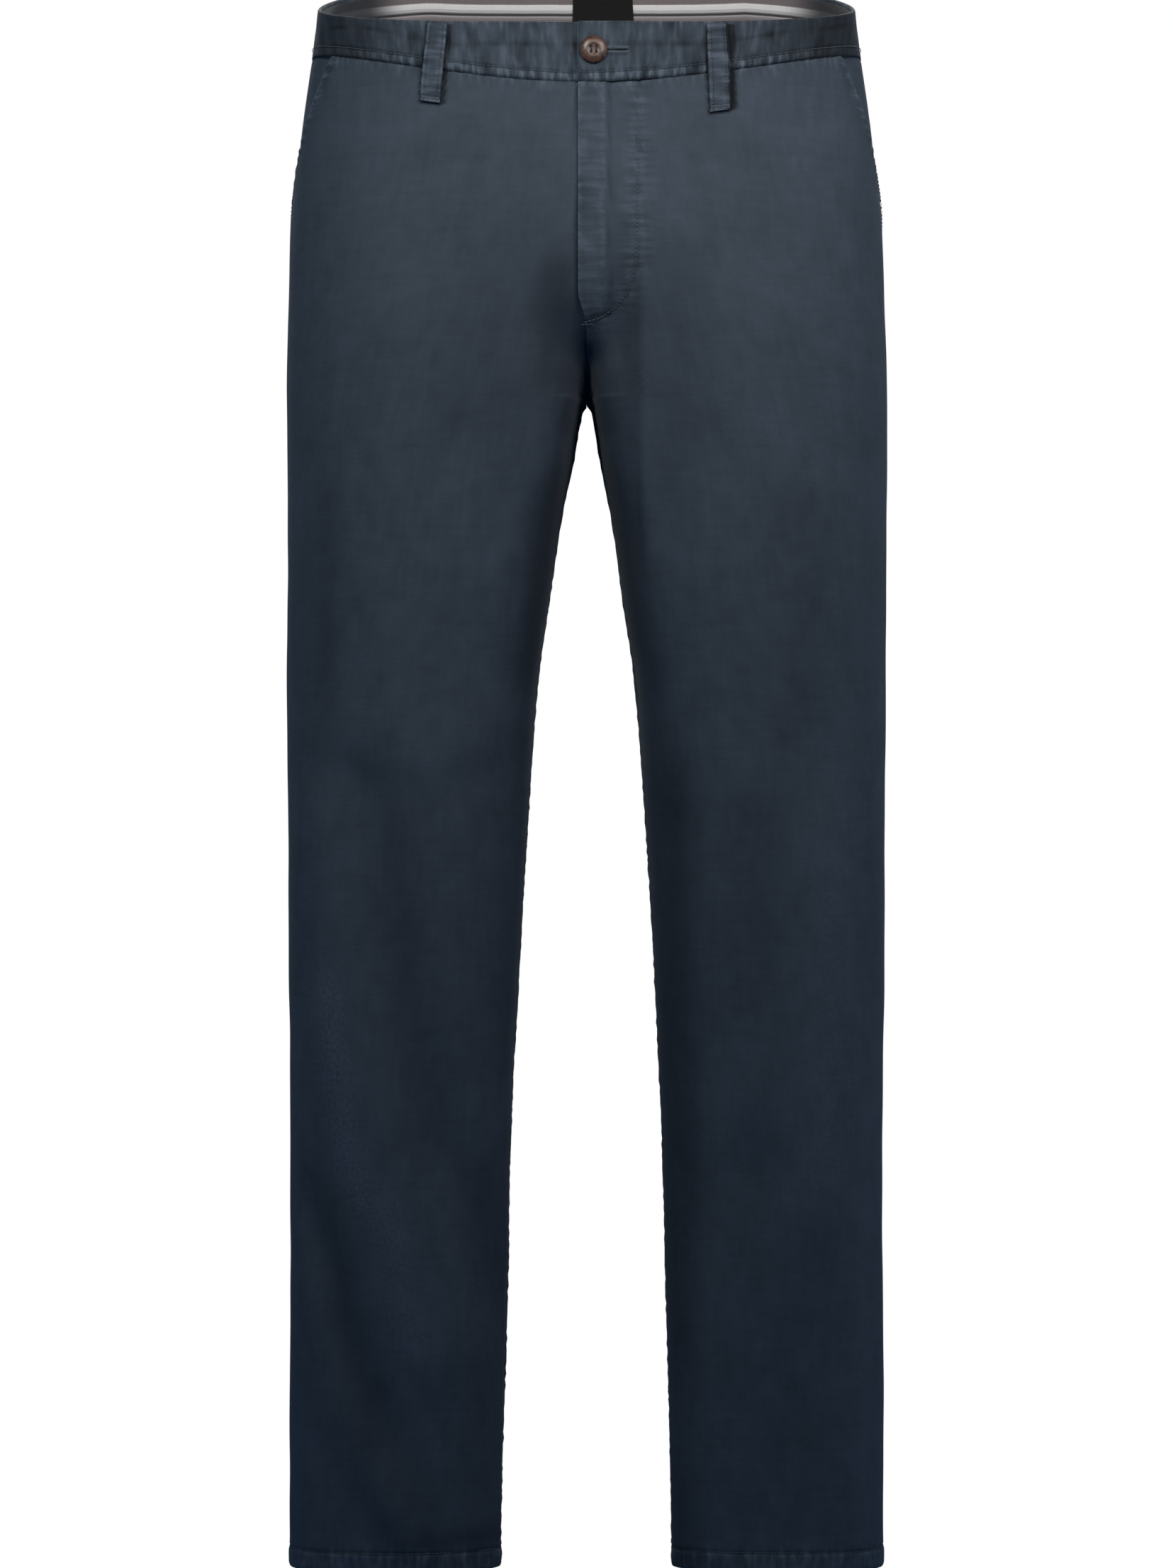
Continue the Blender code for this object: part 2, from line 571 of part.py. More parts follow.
def lap_shift(side, x, u):
    """How far an end of the band moves to lie over, or under, the other end."""
    in_front = u < 0.25
    if side > 0:
        return LAP_SHIFT * ease((LEFT_SHIFT_X - x) / LEFT_SHIFT_RUN) * in_front
    return -LAP_SHIFT * ease((RIGHT_SHIFT_X - x) / RIGHT_SHIFT_RUN) * in_front


def band_grid(side, low, high, rows, short_of=-math.inf):
    """Shares, heights and lifts of a strip of the waistband between two edges."""
    start_x = -BAND_LAP if side > 0 else -UNDERLAP
    u = np.repeat(band_shares(start_x, short_of)[None, :], rows, axis=0)
    share = np.linspace(0.0, 1.0, rows)[:, None]
    z = high(u) + (low(u) - high(u)) * share
    lift = BAND_PROUD + lap_shift(side, section(u, z)[..., 0], u)
    return u, z, lift


def waistband(side, name, finish, parent):
    u, z, lift = band_grid(side, lambda v: waist_seam(v) + SEAM_GAP / 2, top_edge, BAND_ROWS)
    outer, normals = cloth_point(side, u, z, lift)
    inner = outer - normals * BAND_WALL
    for grid in (outer, inner):
        grid[:, -1, 0] = side * SEAM_GAP / 2
    return wall(name, outer, inner, finish, parent)


def lining_lift(lift):
    """The lining lies against the inside of the band."""
    return lift - BAND_WALL - LAID_GAP


def waistband_lining(side, name, finish, parent):
    short_of = UNDERLAP + 2.0 if side > 0 else -math.inf
    u, z, lift = band_grid(side, lambda v: waist_seam(v) + LINING_FOOT,
                           lambda v: top_edge(v) - LINING_TOP, LINING_ROWS, short_of)
    outer, normals = cloth_point(side, u, z, lining_lift(lift))
    inner = outer - normals * LINING_WALL
    for grid in (outer, inner):
        grid[:, -1, 0] = side * SEAM_GAP / 2
    return wall(name, outer, inner, finish, parent)


def patch(name, side, u, z, lift, thick, finish, parent):
    """A small piece laid on the surface from its points."""
    return sheet_wall(name, side, u, z, np.broadcast_to(lift, u.shape), thick, finish, parent)


def share_at_x(x, z, face):
    """The share whose surface point has this x (0 or more) on the front or the back."""
    u = np.linspace(*(FRONT_SHARES if face == "front" else BACK_SHARES), DENSE)
    points = section(u, np.full(DENSE, z))
    order = np.argsort(points[:, 0])
    return float(np.interp(x, points[order, 0], u[order]))


def waist_label(name, finish, parent):
    """The patch on the lining at the centre back, seen through the waist opening."""
    across = np.linspace(LABEL_X - LABEL_WIDTH / 2, LABEL_X + LABEL_WIDTH / 2, LABEL_COLUMNS)
    shares = np.array([share_at_x(abs(x), LABEL_Z, "back") for x in across])
    shares = np.where(across < 0.0, 2.0 - shares, shares)
    u = np.repeat(shares[None, :], LABEL_ROWS, axis=0)
    drop = np.linspace(LABEL_TOP, LABEL_TOP + LABEL_HEIGHT, LABEL_ROWS)[:, None]
    z = top_edge(u) - drop
    lift = lining_lift(BAND_PROUD) - LINING_WALL - LAID_GAP
    return patch(name, 1, u, z, lift, LABEL_WALL, finish, parent)


# ---------------------------------------------------------------- small pieces

def belt_loop(loop, finish, parent):
    """A strip sewn at the top of the band and below its seam, bowed out between."""
    side = -1 if loop.x < 0 else 1
    middle = share_at_x(abs(loop.x), WAIST_Z, loop.face)
    edge = section(np.array([middle]), np.array([WAIST_Z]))
    step = section(np.array([middle + 0.001]), np.array([WAIST_Z]))
    per_share = float(np.linalg.norm(step - edge)) / 0.001
    shares = middle + np.linspace(-0.5, 0.5, LOOP_COLUMNS) * LOOP_WIDTH / per_share
    u = np.repeat(shares[None, :], LOOP_ROWS, axis=0)
    share = np.linspace(0.0, 1.0, LOOP_ROWS)[:, None]
    top = top_edge(u) - LOOP_TOP_INSET
    bottom = waist_seam(u) - loop.drop
    z = top + (bottom - top) * share
    on_band = ease((z - waist_seam(u) + LOOP_STEP) / LOOP_STEP)
    rest = LAID_GAP + BAND_PROUD * on_band
    bow = loop.bow * np.sin(np.pi * share) ** LOOP_FULLNESS
    twist = loop.twist * np.sin(np.pi * share) * np.linspace(-1.0, 1.0, LOOP_COLUMNS)[None, :]
    lift = rest + bow + twist + LOOP_WALL
    return sheet_wall(loop.name, side, u, z, lift, LOOP_WALL, finish, parent)


def back_welt(side, name, finish, parent):
    """A plain welt on the back panel."""
    middle_z = SEAM_BACK - WELT_DROP
    outer_u = share_at_x(WELT_X + WELT_LENGTH / 2, middle_z, "back")
    inner_u = share_at_x(WELT_X - WELT_LENGTH / 2, middle_z, "back")
    u = np.repeat(np.linspace(outer_u, inner_u, WELT_COLUMNS)[None, :], WELT_ROWS, axis=0)
    share = np.linspace(0.5, -0.5, WELT_ROWS)[:, None]
    z = middle_z + share * WELT_HEIGHT + (waist_seam(u) - SEAM_BACK) * WELT_SLOPE
    return patch(name, side, u, z, LAID_GAP + WELT_WALL, WELT_WALL, finish, parent)


def fly_zip(name, finish, parent):
    """The closed zip's tapes, behind the fly."""
    across = np.linspace(ZIP_X - ZIP_HALF_WIDTH, ZIP_X + ZIP_HALF_WIDTH, ZIP_COLUMNS)
    heights = np.linspace(ZIP_TOP_Z, ZIP_END_Z, ZIP_ROWS)
    shares = np.array([[math.copysign(share_at_x(abs(x), z, "front"), x) for x in across]
                       for z in heights])
    z = np.repeat(heights[:, None], ZIP_COLUMNS, axis=1)
    return patch(name, 1, shares, z, ZIP_DEPTH, ZIP_WALL, finish, parent)


def zip_slider(name, finish, parent):
    """The slider and its pull at the top of the zip, between it and the lap."""
    share = share_at_x(SLIDER_X, SLIDER_Z, "front")
    at, _ = cloth_point(1, np.array([share]), np.array([SLIDER_Z]), np.array([ZIP_DEPTH]))
    x, y, z = at[0]
    back = y - SEAM_GAP
    foot_z = z - SLIDER_LENGTH - SLIDER_PULL
    ends = section(np.array([share, share]), np.array([z, foot_z]))
    lean = (ends[1, 1] - ends[0, 1]) / (foot_z - z)
    foot = -SLIDER_LENGTH - SLIDER_PULL
    profile = [(0.0, 0.0), (foot, 0.0), (foot, PULL_THICK), (-SLIDER_LENGTH, PULL_THICK),
               (-SLIDER_LENGTH, SLIDER_THICK), (0.0, SLIDER_THICK)]
    shape = bmesh.new()
    ring = []
    for down, out in profile:
        point = Vector((x - SLIDER_WIDTH / 2, back - out + lean * down, z + down))
        ring.append(shape.verts.new(point * METRES))
    face = shape.faces.new(ring)
    pushed = bmesh.ops.extrude_face_region(shape, geom=[face])["geom"]
    moved = [v for v in pushed if isinstance(v, bmesh.types.BMVert)]
    bmesh.ops.translate(shape, verts=moved, vec=(SLIDER_WIDTH * METRES, 0.0, 0.0))
    bmesh.ops.recalc_face_normals(shape, faces=shape.faces)
    mesh = bpy.data.meshes.new(name)
    shape.to_mesh(mesh)
    shape.free()
    return add_object(name, mesh, finish, parent)


def button_blank():
    """The turned form of the button, on its axis +Z, as a mesh."""
    rim = BUTTON_RADIUS
    thick = BUTTON_THICKNESS
    profile = [(0.0, 0.0), (rim * 0.72, 0.0), (rim * 0.94, thick * 0.22), (rim, thick * 0.5),
               (rim * 0.96, thick * 0.84), (rim * 0.84, thick), (rim * 0.72, thick * 0.94),
               (rim * 0.56, thick - BUTTON_DISH), (0.0, thick - BUTTON_DISH)]
    shape = bmesh.new()
    line = [shape.verts.new(Vector((r, 0.0, h)) * METRES) for r, h in profile]
    edges = [shape.edges.new(pair) for pair in zip(line[:-1], line[1:])]
    bmesh.ops.spin(shape, geom=line + edges, cent=(0, 0, 0), axis=(0, 0, 1),
                   angle=math.tau, steps=BUTTON_SEGMENTS, use_merge=True)
    bmesh.ops.remove_doubles(shape, verts=shape.verts, dist=1e-6)
    bmesh.ops.recalc_face_normals(shape, faces=shape.faces)
    mesh = bpy.data.meshes.new("button")
    shape.to_mesh(mesh)
    shape.free()
    return mesh


def waist_button(name, finish, parent):
    """The four-hole button on the left end of the waistband."""
    share = share_at_x(BUTTON_X, BUTTON_Z, "front")
    lift = BAND_PROUD + LAP_SHIFT + LAID_GAP
    at, normals = cloth_point(1, np.array([share]), np.array([BUTTON_Z]), np.array([lift]))
    facing = Vector(normals[0]).normalized()
    across = Vector((1.0, 0.0, 0.0))
    up = facing.cross(across).normalized()
    across = up.cross(facing)
    turn = Matrix((across, up, facing)).transposed().to_4x4()
    made = add_object(name, button_blank(), finish, parent)
    made.matrix_world = Matrix.Translation(Vector(at[0]) * METRES) @ turn
    made.data.shade_smooth()
    made.data.set_sharp_from_angle(angle=SHARP_ANGLE)
    drill = bmesh.new()
    for right in (-1, 1):
        for high in (-1, 1):
            place = Vector((right * HOLE_SPACING, high * HOLE_SPACING, BUTTON_THICKNESS / 2))
            bmesh.ops.create_cone(drill, cap_ends=True, segments=HOLE_SEGMENTS,
                                  depth=3 * BUTTON_THICKNESS * METRES,
                                  radius1=HOLE_RADIUS * METRES, radius2=HOLE_RADIUS * METRES,
                                  matrix=Matrix.Translation(place * METRES))
    cutter_mesh = bpy.data.meshes.new("button_holes")
    drill.to_mesh(cutter_mesh)
    drill.free()
    cutter = bpy.data.objects.new("button_holes", cutter_mesh)
    cutter.hide_render = True
    cutter.display_type = "WIRE"
    bpy.context.collection.objects.link(cutter)
    cutter.matrix_world = made.matrix_world
    cut = made.modifiers.new("holes", "BOOLEAN")
    cut.object = cutter
    cut.operation = "DIFFERENCE"
    cut.solver = "EXACT"
    return made


# ---------------------------------------------------------------- the garment

def main():
    for old in list(bpy.data.objects):
        bpy.data.objects.remove(old)
    garment = bpy.data.objects.new("chino_trousers", None)
    bpy.context.collection.objects.link(garment)

    twill = material("navy_twill", (0.030, 0.045, 0.062), 0.85)
    lining = material("waistband_lining", (0.50, 0.46, 0.42), 0.8)
    woven_label = material("woven_label", (0.012, 0.012, 0.013), 0.6)
    horn = material("horn_button", (0.060, 0.035, 0.026), 0.3)
    tape = material("zip_tape", (0.020, 0.030, 0.045), 0.7)
    brass = material("zip_metal", (0.55, 0.42, 0.20), 0.35, 1.0)

    for side, hand in ((1, "left"), (-1, "right")):
        front_panel(side, f"front_{hand}", twill, garment)
        back_panel(side, f"back_{hand}", twill, garment)
        pocket_facing(side, f"pocket_facing_{hand}", twill, garment)
        waistband(side, f"waistband_{hand}", twill, garment)
        waistband_lining(side, f"waistband_lining_{hand}", lining, garment)
        back_welt(side, f"back_welt_{hand}", twill, garment)
    for loop in LOOPS:
        belt_loop(loop, twill, garment)
    waist_label("waist_label", woven_label, garment)
    fly_zip("fly_zip", tape, garment)
    zip_slider("zip_slider", brass, garment)
    waist_button("waist_button", horn, garment)


main()
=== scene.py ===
"""The finish of a pair of straight-leg chino trousers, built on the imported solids.

Sizes are in millimetres and become metres where a mesh is made. +X is the wearer's left, -Y the front
and +Z up. A point of the cloth is found from u, its share of the way round one half of the garment
(0 centre front or inseam, 0.5 side, 1 centre back or inseam), and z, its height.
"""

import math
from collections import namedtuple

import bmesh
import bpy
import numpy as np
from bpy.props import FloatProperty, FloatVectorProperty, IntProperty, PointerProperty
from bpy.types import Operator, Panel, PropertyGroup
from mathutils import Matrix, Vector


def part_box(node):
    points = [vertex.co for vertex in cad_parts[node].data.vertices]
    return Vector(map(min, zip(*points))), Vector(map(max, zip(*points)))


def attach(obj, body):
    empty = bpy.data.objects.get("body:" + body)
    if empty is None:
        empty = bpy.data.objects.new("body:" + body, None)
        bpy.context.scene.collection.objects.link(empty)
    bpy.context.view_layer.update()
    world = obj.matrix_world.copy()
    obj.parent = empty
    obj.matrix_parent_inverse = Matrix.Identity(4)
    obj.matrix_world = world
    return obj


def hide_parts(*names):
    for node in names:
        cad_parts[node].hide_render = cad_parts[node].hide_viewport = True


bl_info = {
    "name": "Chino Trousers",
    "version": (1, 0, 0),
    "blender": (4, 5, 0),
    "location": "3D View > Sidebar > Chinos",
    "description": "Cloth, seams, stitching, button and stage of a pair of chino trousers",
    "category": "Object",
}

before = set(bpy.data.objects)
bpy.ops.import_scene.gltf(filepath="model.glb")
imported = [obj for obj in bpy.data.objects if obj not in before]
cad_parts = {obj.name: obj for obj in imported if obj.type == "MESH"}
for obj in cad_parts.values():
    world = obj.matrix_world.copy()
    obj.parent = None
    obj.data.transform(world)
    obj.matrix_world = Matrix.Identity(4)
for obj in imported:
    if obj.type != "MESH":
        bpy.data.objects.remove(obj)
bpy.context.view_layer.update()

METRES = 0.001
BODY = "root"

# Heights down the garment, and how deep the hem is turned up
WAIST_Z = -20.0
TILT_END_Z = -150.0
CROTCH_Z = -258.0
HEM_Z = -1068.5
HEM_TURN = 13.5
HEM_DOUBLED = 0.9        # how much thicker the cloth is there

# Waistband edges: heights at centre front, side and centre back
TOP_FRONT, TOP_SIDE, TOP_BACK = -4.5, 18.0, 44.0
SEAM_FRONT, SEAM_SIDE, SEAM_BACK = -46.0, -18.5, 5.0
WAIST_HALF_WIDTH = 189.0
WAIST_HALF_DEPTH = 104.0
SEAM_CURVE = 1.7
BAND_PROUD = 0.6
BAND_WALL = 2.6
EDGE_STITCH = 6.5        # above the waist seam

# Fly
LAP = 5.8
FLY_RISE = 2.4
FLY_STRIP = 12.0
FLY_STRIP_FALL = 4.0
FLY_END_Z = -192.0
FLY_END_FALL = 18.0
FLY_FOOT_Z = -206.0      # where its padding ends
BAND_LAP = 7.0
UNDERLAP = 24.0
LAP_SHIFT = 1.5
J_STITCH = np.array(((35.0, -40.0), (35.2, -90.0), (34.6, -140.0), (33.4, -172.0), (28.0, -190.0),
                     (19.0, -201.5), (8.0, -206.5), (-2.0, -208.5)))
J_TOP_Z = -49.0          # where the curved stitches come out from under the band
TACK_Z = -209.5

# Side pocket
SIDE_SEAM_U = 0.53
MOUTH_TOP_U = 0.418
MOUTH_END_Z = -170.0
MOUTH_STITCH = 6.0
FACING_UNDER = 0.026     # share of the facing that lies under the front
FACING_PAST = 0.007      # and past the side seam, under the back
FACING_DROP = 2.3        # how deep it lies behind the mouth
FACING_SLIP = 2.2        # and behind the back

# Section curves
FRONT_ROUND, BACK_ROUND = 0.60, 0.585
FRONT_SQUARE, BACK_SQUARE = 0.90, 0.80
SQUARE_END_Z = -520.0
CROTCH_CURVE = 2.6
CROTCH_FULL = 0.6
CROTCH_SLACK = 1.15
SEAM_PULL = 6
CROTCH_REACH = 20.0      # how far up and down the cloth evens out the turn at the crotch
CROTCH_STEPS = 9
INNER_CORNER = 0.5
CORNER_LATE = 1.5

Level = namedtuple("Level", "z outer gap front back front_x back_x")
LEVELS = (
    Level(60.0, 184.5, 0.0, -96.0, 97.0, 52.0, 52.0),
    Level(18.0, 187.3, 0.0, -99.0, 104.0, 54.0, 56.0),
    Level(-18.0, 191.5, 0.0, -102.5, 114.0, 56.0, 62.0),
    Level(-55.0, 197.0, 0.0, -106.0, 126.0, 60.0, 72.0),
    Level(-95.0, 202.5, 0.0, -111.0, 137.0, 64.0, 82.0),
    Level(-134.0, 206.6, 0.0, -115.0, 145.0, 70.0, 90.0),
    Level(-190.0, 207.8, 0.0, -117.0, 148.0, 82.0, 96.0),
    Level(-233.0, 208.9, 0.0, -115.0, 142.0, 92.0, 100.0),
    Level(-258.0, 209.0, 0.1, -112.0, 135.0, 97.0, 103.0),
    Level(-263.0, 209.0, 3.5, -111.3, 133.4, 98.0, 103.6),
    Level(-273.0, 209.0, 5.4, -110.0, 130.0, 100.0, 105.0),
    Level(-303.0, 209.0, 10.4, -106.0, 122.0, 105.0, 108.0),
    Level(-342.0, 209.0, 18.3, -102.0, 112.0, 110.0, 112.0),
    Level(-382.0, 209.0, 23.8, -98.0, 104.0, 113.0, 115.0),
    Level(-461.0, 209.0, 35.1, -89.0, 90.0, 119.0, 120.0),
    Level(-540.0, 208.4, 40.1, -82.0, 75.0, 123.0, 123.0),
    Level(-620.0, 207.9, 45.0, -76.0, 66.0, 126.0, 126.0),
    Level(-738.0, 206.9, 51.5, -68.0, 62.0, 129.0, 129.0),
    Level(-857.0, 206.9, 54.9, -59.0, 59.5, 131.0, 131.0),
    Level(-976.0, 207.3, 58.4, -51.0, 57.5, 133.0, 133.0),
    Level(-1068.5, 207.4, 60.0, -46.0, 56.0, 133.5, 133.5),
)

# Folds and streaks run along a line of three points (x, z). They fade past its ends over the taper, and
# where the cloth turns away from their face, the faster the larger the turn.
Mark = namedtuple("Mark", "face amount width x1 z1 x2 z2 x3 z3")

# Folds of the cloth, by their height out of it
FOLDS = (
    Mark("front", -4.5, 20.0, -148.0, -545.0, -124.0, -690.0, -62.0, -872.0),
    Mark("front", 4.0, 26.0, -187.0, -560.0, -170.0, -700.0, -112.0, -915.0),
    Mark("front", -3.2, 13.0, -189.0, -825.0, -168.0, -892.0, -146.0, -950.0),
    Mark("front", 3.0, 15.0, -189.0, -880.0, -168.0, -960.0, -138.0, -1018.0),
    Mark("front", 1.6, 28.0, -160.0, -490.0, -120.0, -502.0, -80.0, -492.0),
    Mark("front", -1.0, 15.0, -150.0, -522.0, -108.0, -538.0, -76.0, -522.0),
    Mark("front", 2.4, 20.0, 166.0, -560.0, 168.0, -690.0, 164.0, -815.0),
    Mark("front", -3.2, 20.0, 62.0, -560.0, 68.0, -690.0, 72.0, -820.0),
    Mark("front", -3.6, 34.0, 120.0, -800.0, 132.0, -920.0, 128.0, -1040.0),
    Mark("front", 2.2, 12.0, 188.0, -770.0, 190.0, -900.0, 188.0, -1050.0),
    Mark("front", 2.6, 10.0, 39.0, -165.0, 40.0, -330.0, 52.0, -424.0),
    Mark("front", -2.6, 11.0, 20.0, -190.0, 24.0, -280.0, 30.0, -345.0),
    Mark("front", -2.6, 13.0, -24.0, -205.0, -22.0, -225.0, -20.0, -246.0),
    Mark("back", -3.6, 15.0, -30.0, -268.0, -70.0, -292.0, -132.0, -305.0),
    Mark("back", 3.0, 17.0, -40.0, -300.0, -80.0, -328.0, -120.0, -345.0),
    Mark("back", -3.2, 14.0, 26.0, -274.0, 74.0, -300.0, 118.0, -318.0),
    Mark("back", 2.6, 18.0, 44.0, -318.0, 88.0, -345.0, 140.0, -352.0),
    Mark("back", -4.0, 14.0, -170.0, -590.0, -122.0, -604.0, -78.0, -596.0),
    Mark("back", 3.4, 16.0, -164.0, -625.0, -116.0, -640.0, -84.0, -648.0),
    Mark("back", -3.0, 13.0, -150.0, -668.0, -112.0, -676.0, -90.0, -690.0),
    Mark("back", -3.4, 15.0, 84.0, -582.0, 128.0, -596.0, 176.0, -590.0),
    Mark("back", 3.0, 17.0, 80.0, -620.0, 124.0, -632.0, 160.0, -626.0),
    Mark("back", -3.4, 24.0, -160.0, -730.0, -150.0, -850.0, -118.0, -1000.0),
    Mark("back", 3.0, 22.0, -108.0, -740.0, -96.0, -860.0, -84.0, -990.0),
    Mark("back", -3.2, 26.0, 112.0, -700.0, 130.0, -850.0, 150.0, -1010.0),
)
FOLD_TAPER, FOLD_TURN = 40.0, 1.6

# Painted light and shade in soft streaks: pale where the amount is above 0 and dark where it is below
PAINTED_STREAKS = (
    Mark("front", -0.34, 17.0, -18.0, -178.0, -23.0, -212.0, -24.0, -236.0),
    Mark("front", -0.08, 11.0, -172.0, -95.0, -180.0, -184.0, -186.0, -262.0),
    Mark("front", 0.13, 26.0, 95.0, -262.0, 128.0, -285.0, 160.0, -312.0),
    Mark("front", 0.14, 22.0, 165.0, -560.0, 166.0, -690.0, 160.0, -800.0),
    Mark("front", 0.16, 7.0, 190.0, -770.0, 192.0, -900.0, 190.0, -1040.0),
    Mark("front", 0.10, 24.0, -118.0, -505.0, -108.0, -515.0, -88.0, -505.0),
    Mark("front", -0.20, 44.0, -58.0, -150.0, -62.0, -215.0, -60.0, -270.0),
    Mark("front", -0.12, 30.0, -100.0, -95.0, -70.0, -110.0, -30.0, -105.0),
    Mark("front", -0.26, 15.0, 31.0, -156.0, 31.0, -200.0, 33.0, -240.0),
    Mark("front", -0.20, 26.0, 62.0, -170.0, 66.0, -225.0, 70.0, -275.0),
    Mark("front", -0.12, 30.0, 110.0, -85.0, 114.0, -115.0, 116.0, -140.0),
    Mark("front", 0.12, 11.0, 30.0, -95.0, 30.0, -115.0, 31.0, -130.0),
    Mark("front", 0.36, 12.0, -176.0, -672.0, -171.0, -735.0, -160.0, -800.0),
    Mark("front", 0.22, 15.0, -138.0, -824.0, -130.0, -863.0, -118.0, -907.0),
    Mark("front", -0.45, 12.0, -26.0, -330.0, -32.0, -385.0, -38.0, -440.0),
    Mark("front", -0.25, 12.0, 26.0, -340.0, 31.0, -385.0, 38.0, -440.0),
    Mark("front", -0.20, 24.0, -70.0, -500.0, -72.0, -620.0, -66.0, -720.0),
    Mark("front", -0.22, 24.0, -130.0, -555.0, -125.0, -665.0, -112.0, -760.0),
    Mark("front", -0.34, 14.0, -178.0, -815.0, -168.0, -890.0, -148.0, -970.0),
    Mark("front", -0.24, 22.0, -68.0, -800.0, -70.0, -900.0, -72.0, -1050.0),
    Mark("front", -0.24, 22.0, -125.0, -1012.0, -120.0, -1030.0, -115.0, -1056.0),
    Mark("front", -0.40, 15.0, 58.0, -520.0, 62.0, -700.0, 66.0, -900.0),
    Mark("front", -0.18, 15.0, 65.0, -945.0, 66.0, -990.0, 67.0, -1062.0),
    Mark("front", -0.20, 13.0, 66.0, -1025.0, 66.0, -1045.0, 67.0, -1062.0),
    Mark("front", 0.10, 26.0, 100.0, -740.0, 114.0, -780.0, 120.0, -820.0),
    Mark("front", -0.20, 28.0, 112.0, -545.0, 116.0, -600.0, 114.0, -670.0),
    Mark("front", -0.20, 30.0, 150.0, -330.0, 150.0, -400.0, 146.0, -470.0),
    Mark("front", -0.30, 12.0, -178.0, -330.0, -178.0, -400.0, -178.0, -470.0),
    Mark("front", -0.20, 2.6, 35.0, -168.0, 35.5, -261.0, 37.0, -338.0),
    Mark("front", 0.16, 4.0, 40.0, -172.0, 40.5, -261.0, 43.0, -345.0),
    Mark("front", -0.30, 8.0, -101.0, -1046.0, -82.0, -1046.0, -62.0, -1044.0),
)
STREAK_TAPER, STREAK_TURN = 24.0, 3.0

# Belt loops: x of the middle, which face, drop below the waist seam, how far it bows out, twist, and
# how far its foot leans in
Loop = namedtuple("Loop", "name x face drop bow twist lean")
LOOPS = (
    Loop("belt_loop_front_right", -103.0, "front", 23.0, 2.2, 0.3, 1.5),
    Loop("belt_loop_front_left", 92.0, "front", 27.0, 2.9, 0.8, 6.5),
    Loop("belt_loop_side_right", -142.0, "back", 24.0, 2.4, -0.3, 1.5),
    Loop("belt_loop_side_left", 142.0, "back", 25.0, 2.2, 0.3, 2.5),
    Loop("belt_loop_back", 0.0, "back", 22.0, 2.0, 0.0, 0.0),
)
LOOP_WIDTH = 14.0
LOOP_WALL = 1.4
LOOP_TOP_INSET = 2.0

# Back pockets
WELT_X = 88.0
WELT_LENGTH = 128.0
WELT_HEIGHT = 12.0
WELT_Z = SEAM_BACK - 62.0
WELT_SLOPE = 0.35        # share of the waist seam's slope that a welt follows
WELT_WALL = 1.4
WELT_STITCH = 1.8        # in from its edges
DART_LENGTH = 58.0

# Lining and label
LINING_TOP = 3.0
LINING_FOOT = 1.0
LINING_WALL = 1.0
LINING_DUSK = {1: 140.0, -1: 128.0}     # the x beyond which the lining lies in shade, on each side
LABEL_X = 12.0
LABEL_WIDTH = 44.0
LABEL_HEIGHT = 30.0
LABEL_TOP = 5.0
LABEL_Z = 20.0           # about its middle
LABEL_WALL = 0.6
LAID_GAP = 0.45

# Button
BUTTON_X, BUTTON_Z = 4.9, -24.4
BUTTON_SPREAD = 0.6      # the finished button's rim past the plain one
BUTTON_THICKNESS = 3.4
BUTTON_DISH = 0.5
BUTTON_PROFILE = (       # shares of its radius and thickness, from the middle of its back
    (0.0, 0.0), (0.80, 0.0), (0.93, 0.08), (0.99, 0.22), (1.0, 0.36), (0.975, 0.50), (0.92, 0.64),
    (0.82, 0.79), (0.68, 0.92), (0.56, 0.985), (0.47, 1.0), (0.41, 0.97),
)
DISH_PROFILE = ((0.35, 0.8), (0.28, 1.0), (0.0, 1.1))     # and of its radius and dish, to the middle
HOLE_RADIUS = 0.95
HOLE_SPACING = 1.75
BUTTON_THREAD_COLOUR = (0.008, 0.006, 0.008)
BUTTONHOLE_START, BUTTONHOLE_END = 13.0, 28.5
BUTTONHOLE_PITCH = 0.55

# Zip, as the heights of its first and last tooth
ZIP_X = 4.0
ZIP_TOP, ZIP_FOOT = -72.0, -164.0
TOOTH_PITCH = 1.6
TOOTH_SHIFT = 0.9
ZIP_DEPTH = 2.0
ZIP_TAPE_COLOUR = (0.020, 0.030, 0.045)

# Points along a row that is measured, and the share past the centre from which it is
DENSE = 240
PAST_CENTRE = 0.06

# How many of them, from the first, are searched for an edge near the centre
FLY_POINTS, BAND_POINTS = 60, 120

# A short step of u, to measure how much cloth there is to a share
SHORT_STEP = 0.001

# Rows of a panel's grid: above, beside and below the crotch, down the leg and in the hem
FRONT_ROWS = (96, 62, 22, 172, 18)
BACK_ROWS = (56, 50, 20, 170, 16)

# Rows and columns of the other grids
FACING_GRID = (90, 56)
BAND_GRID = (52, 250)
LINING_GRID = (26, 120)
LABEL_GRID = (22, 30)
LOOP_GRID = (74, 22)
LOOP_STITCH_GRID = (40, 15)
WELT_GRID = (22, 90)


# ---------------------------------------------------------------- the form

def ease(share):
    """A smooth step from 0 to 1."""
    share = np.clip(share, 0.0, 1.0)
    return share * share * (3.0 - 2.0 * share)


def bell(distance, width):
    """1 at no distance, fading out over about the width."""
    return np.exp(-(distance / width) ** 2)


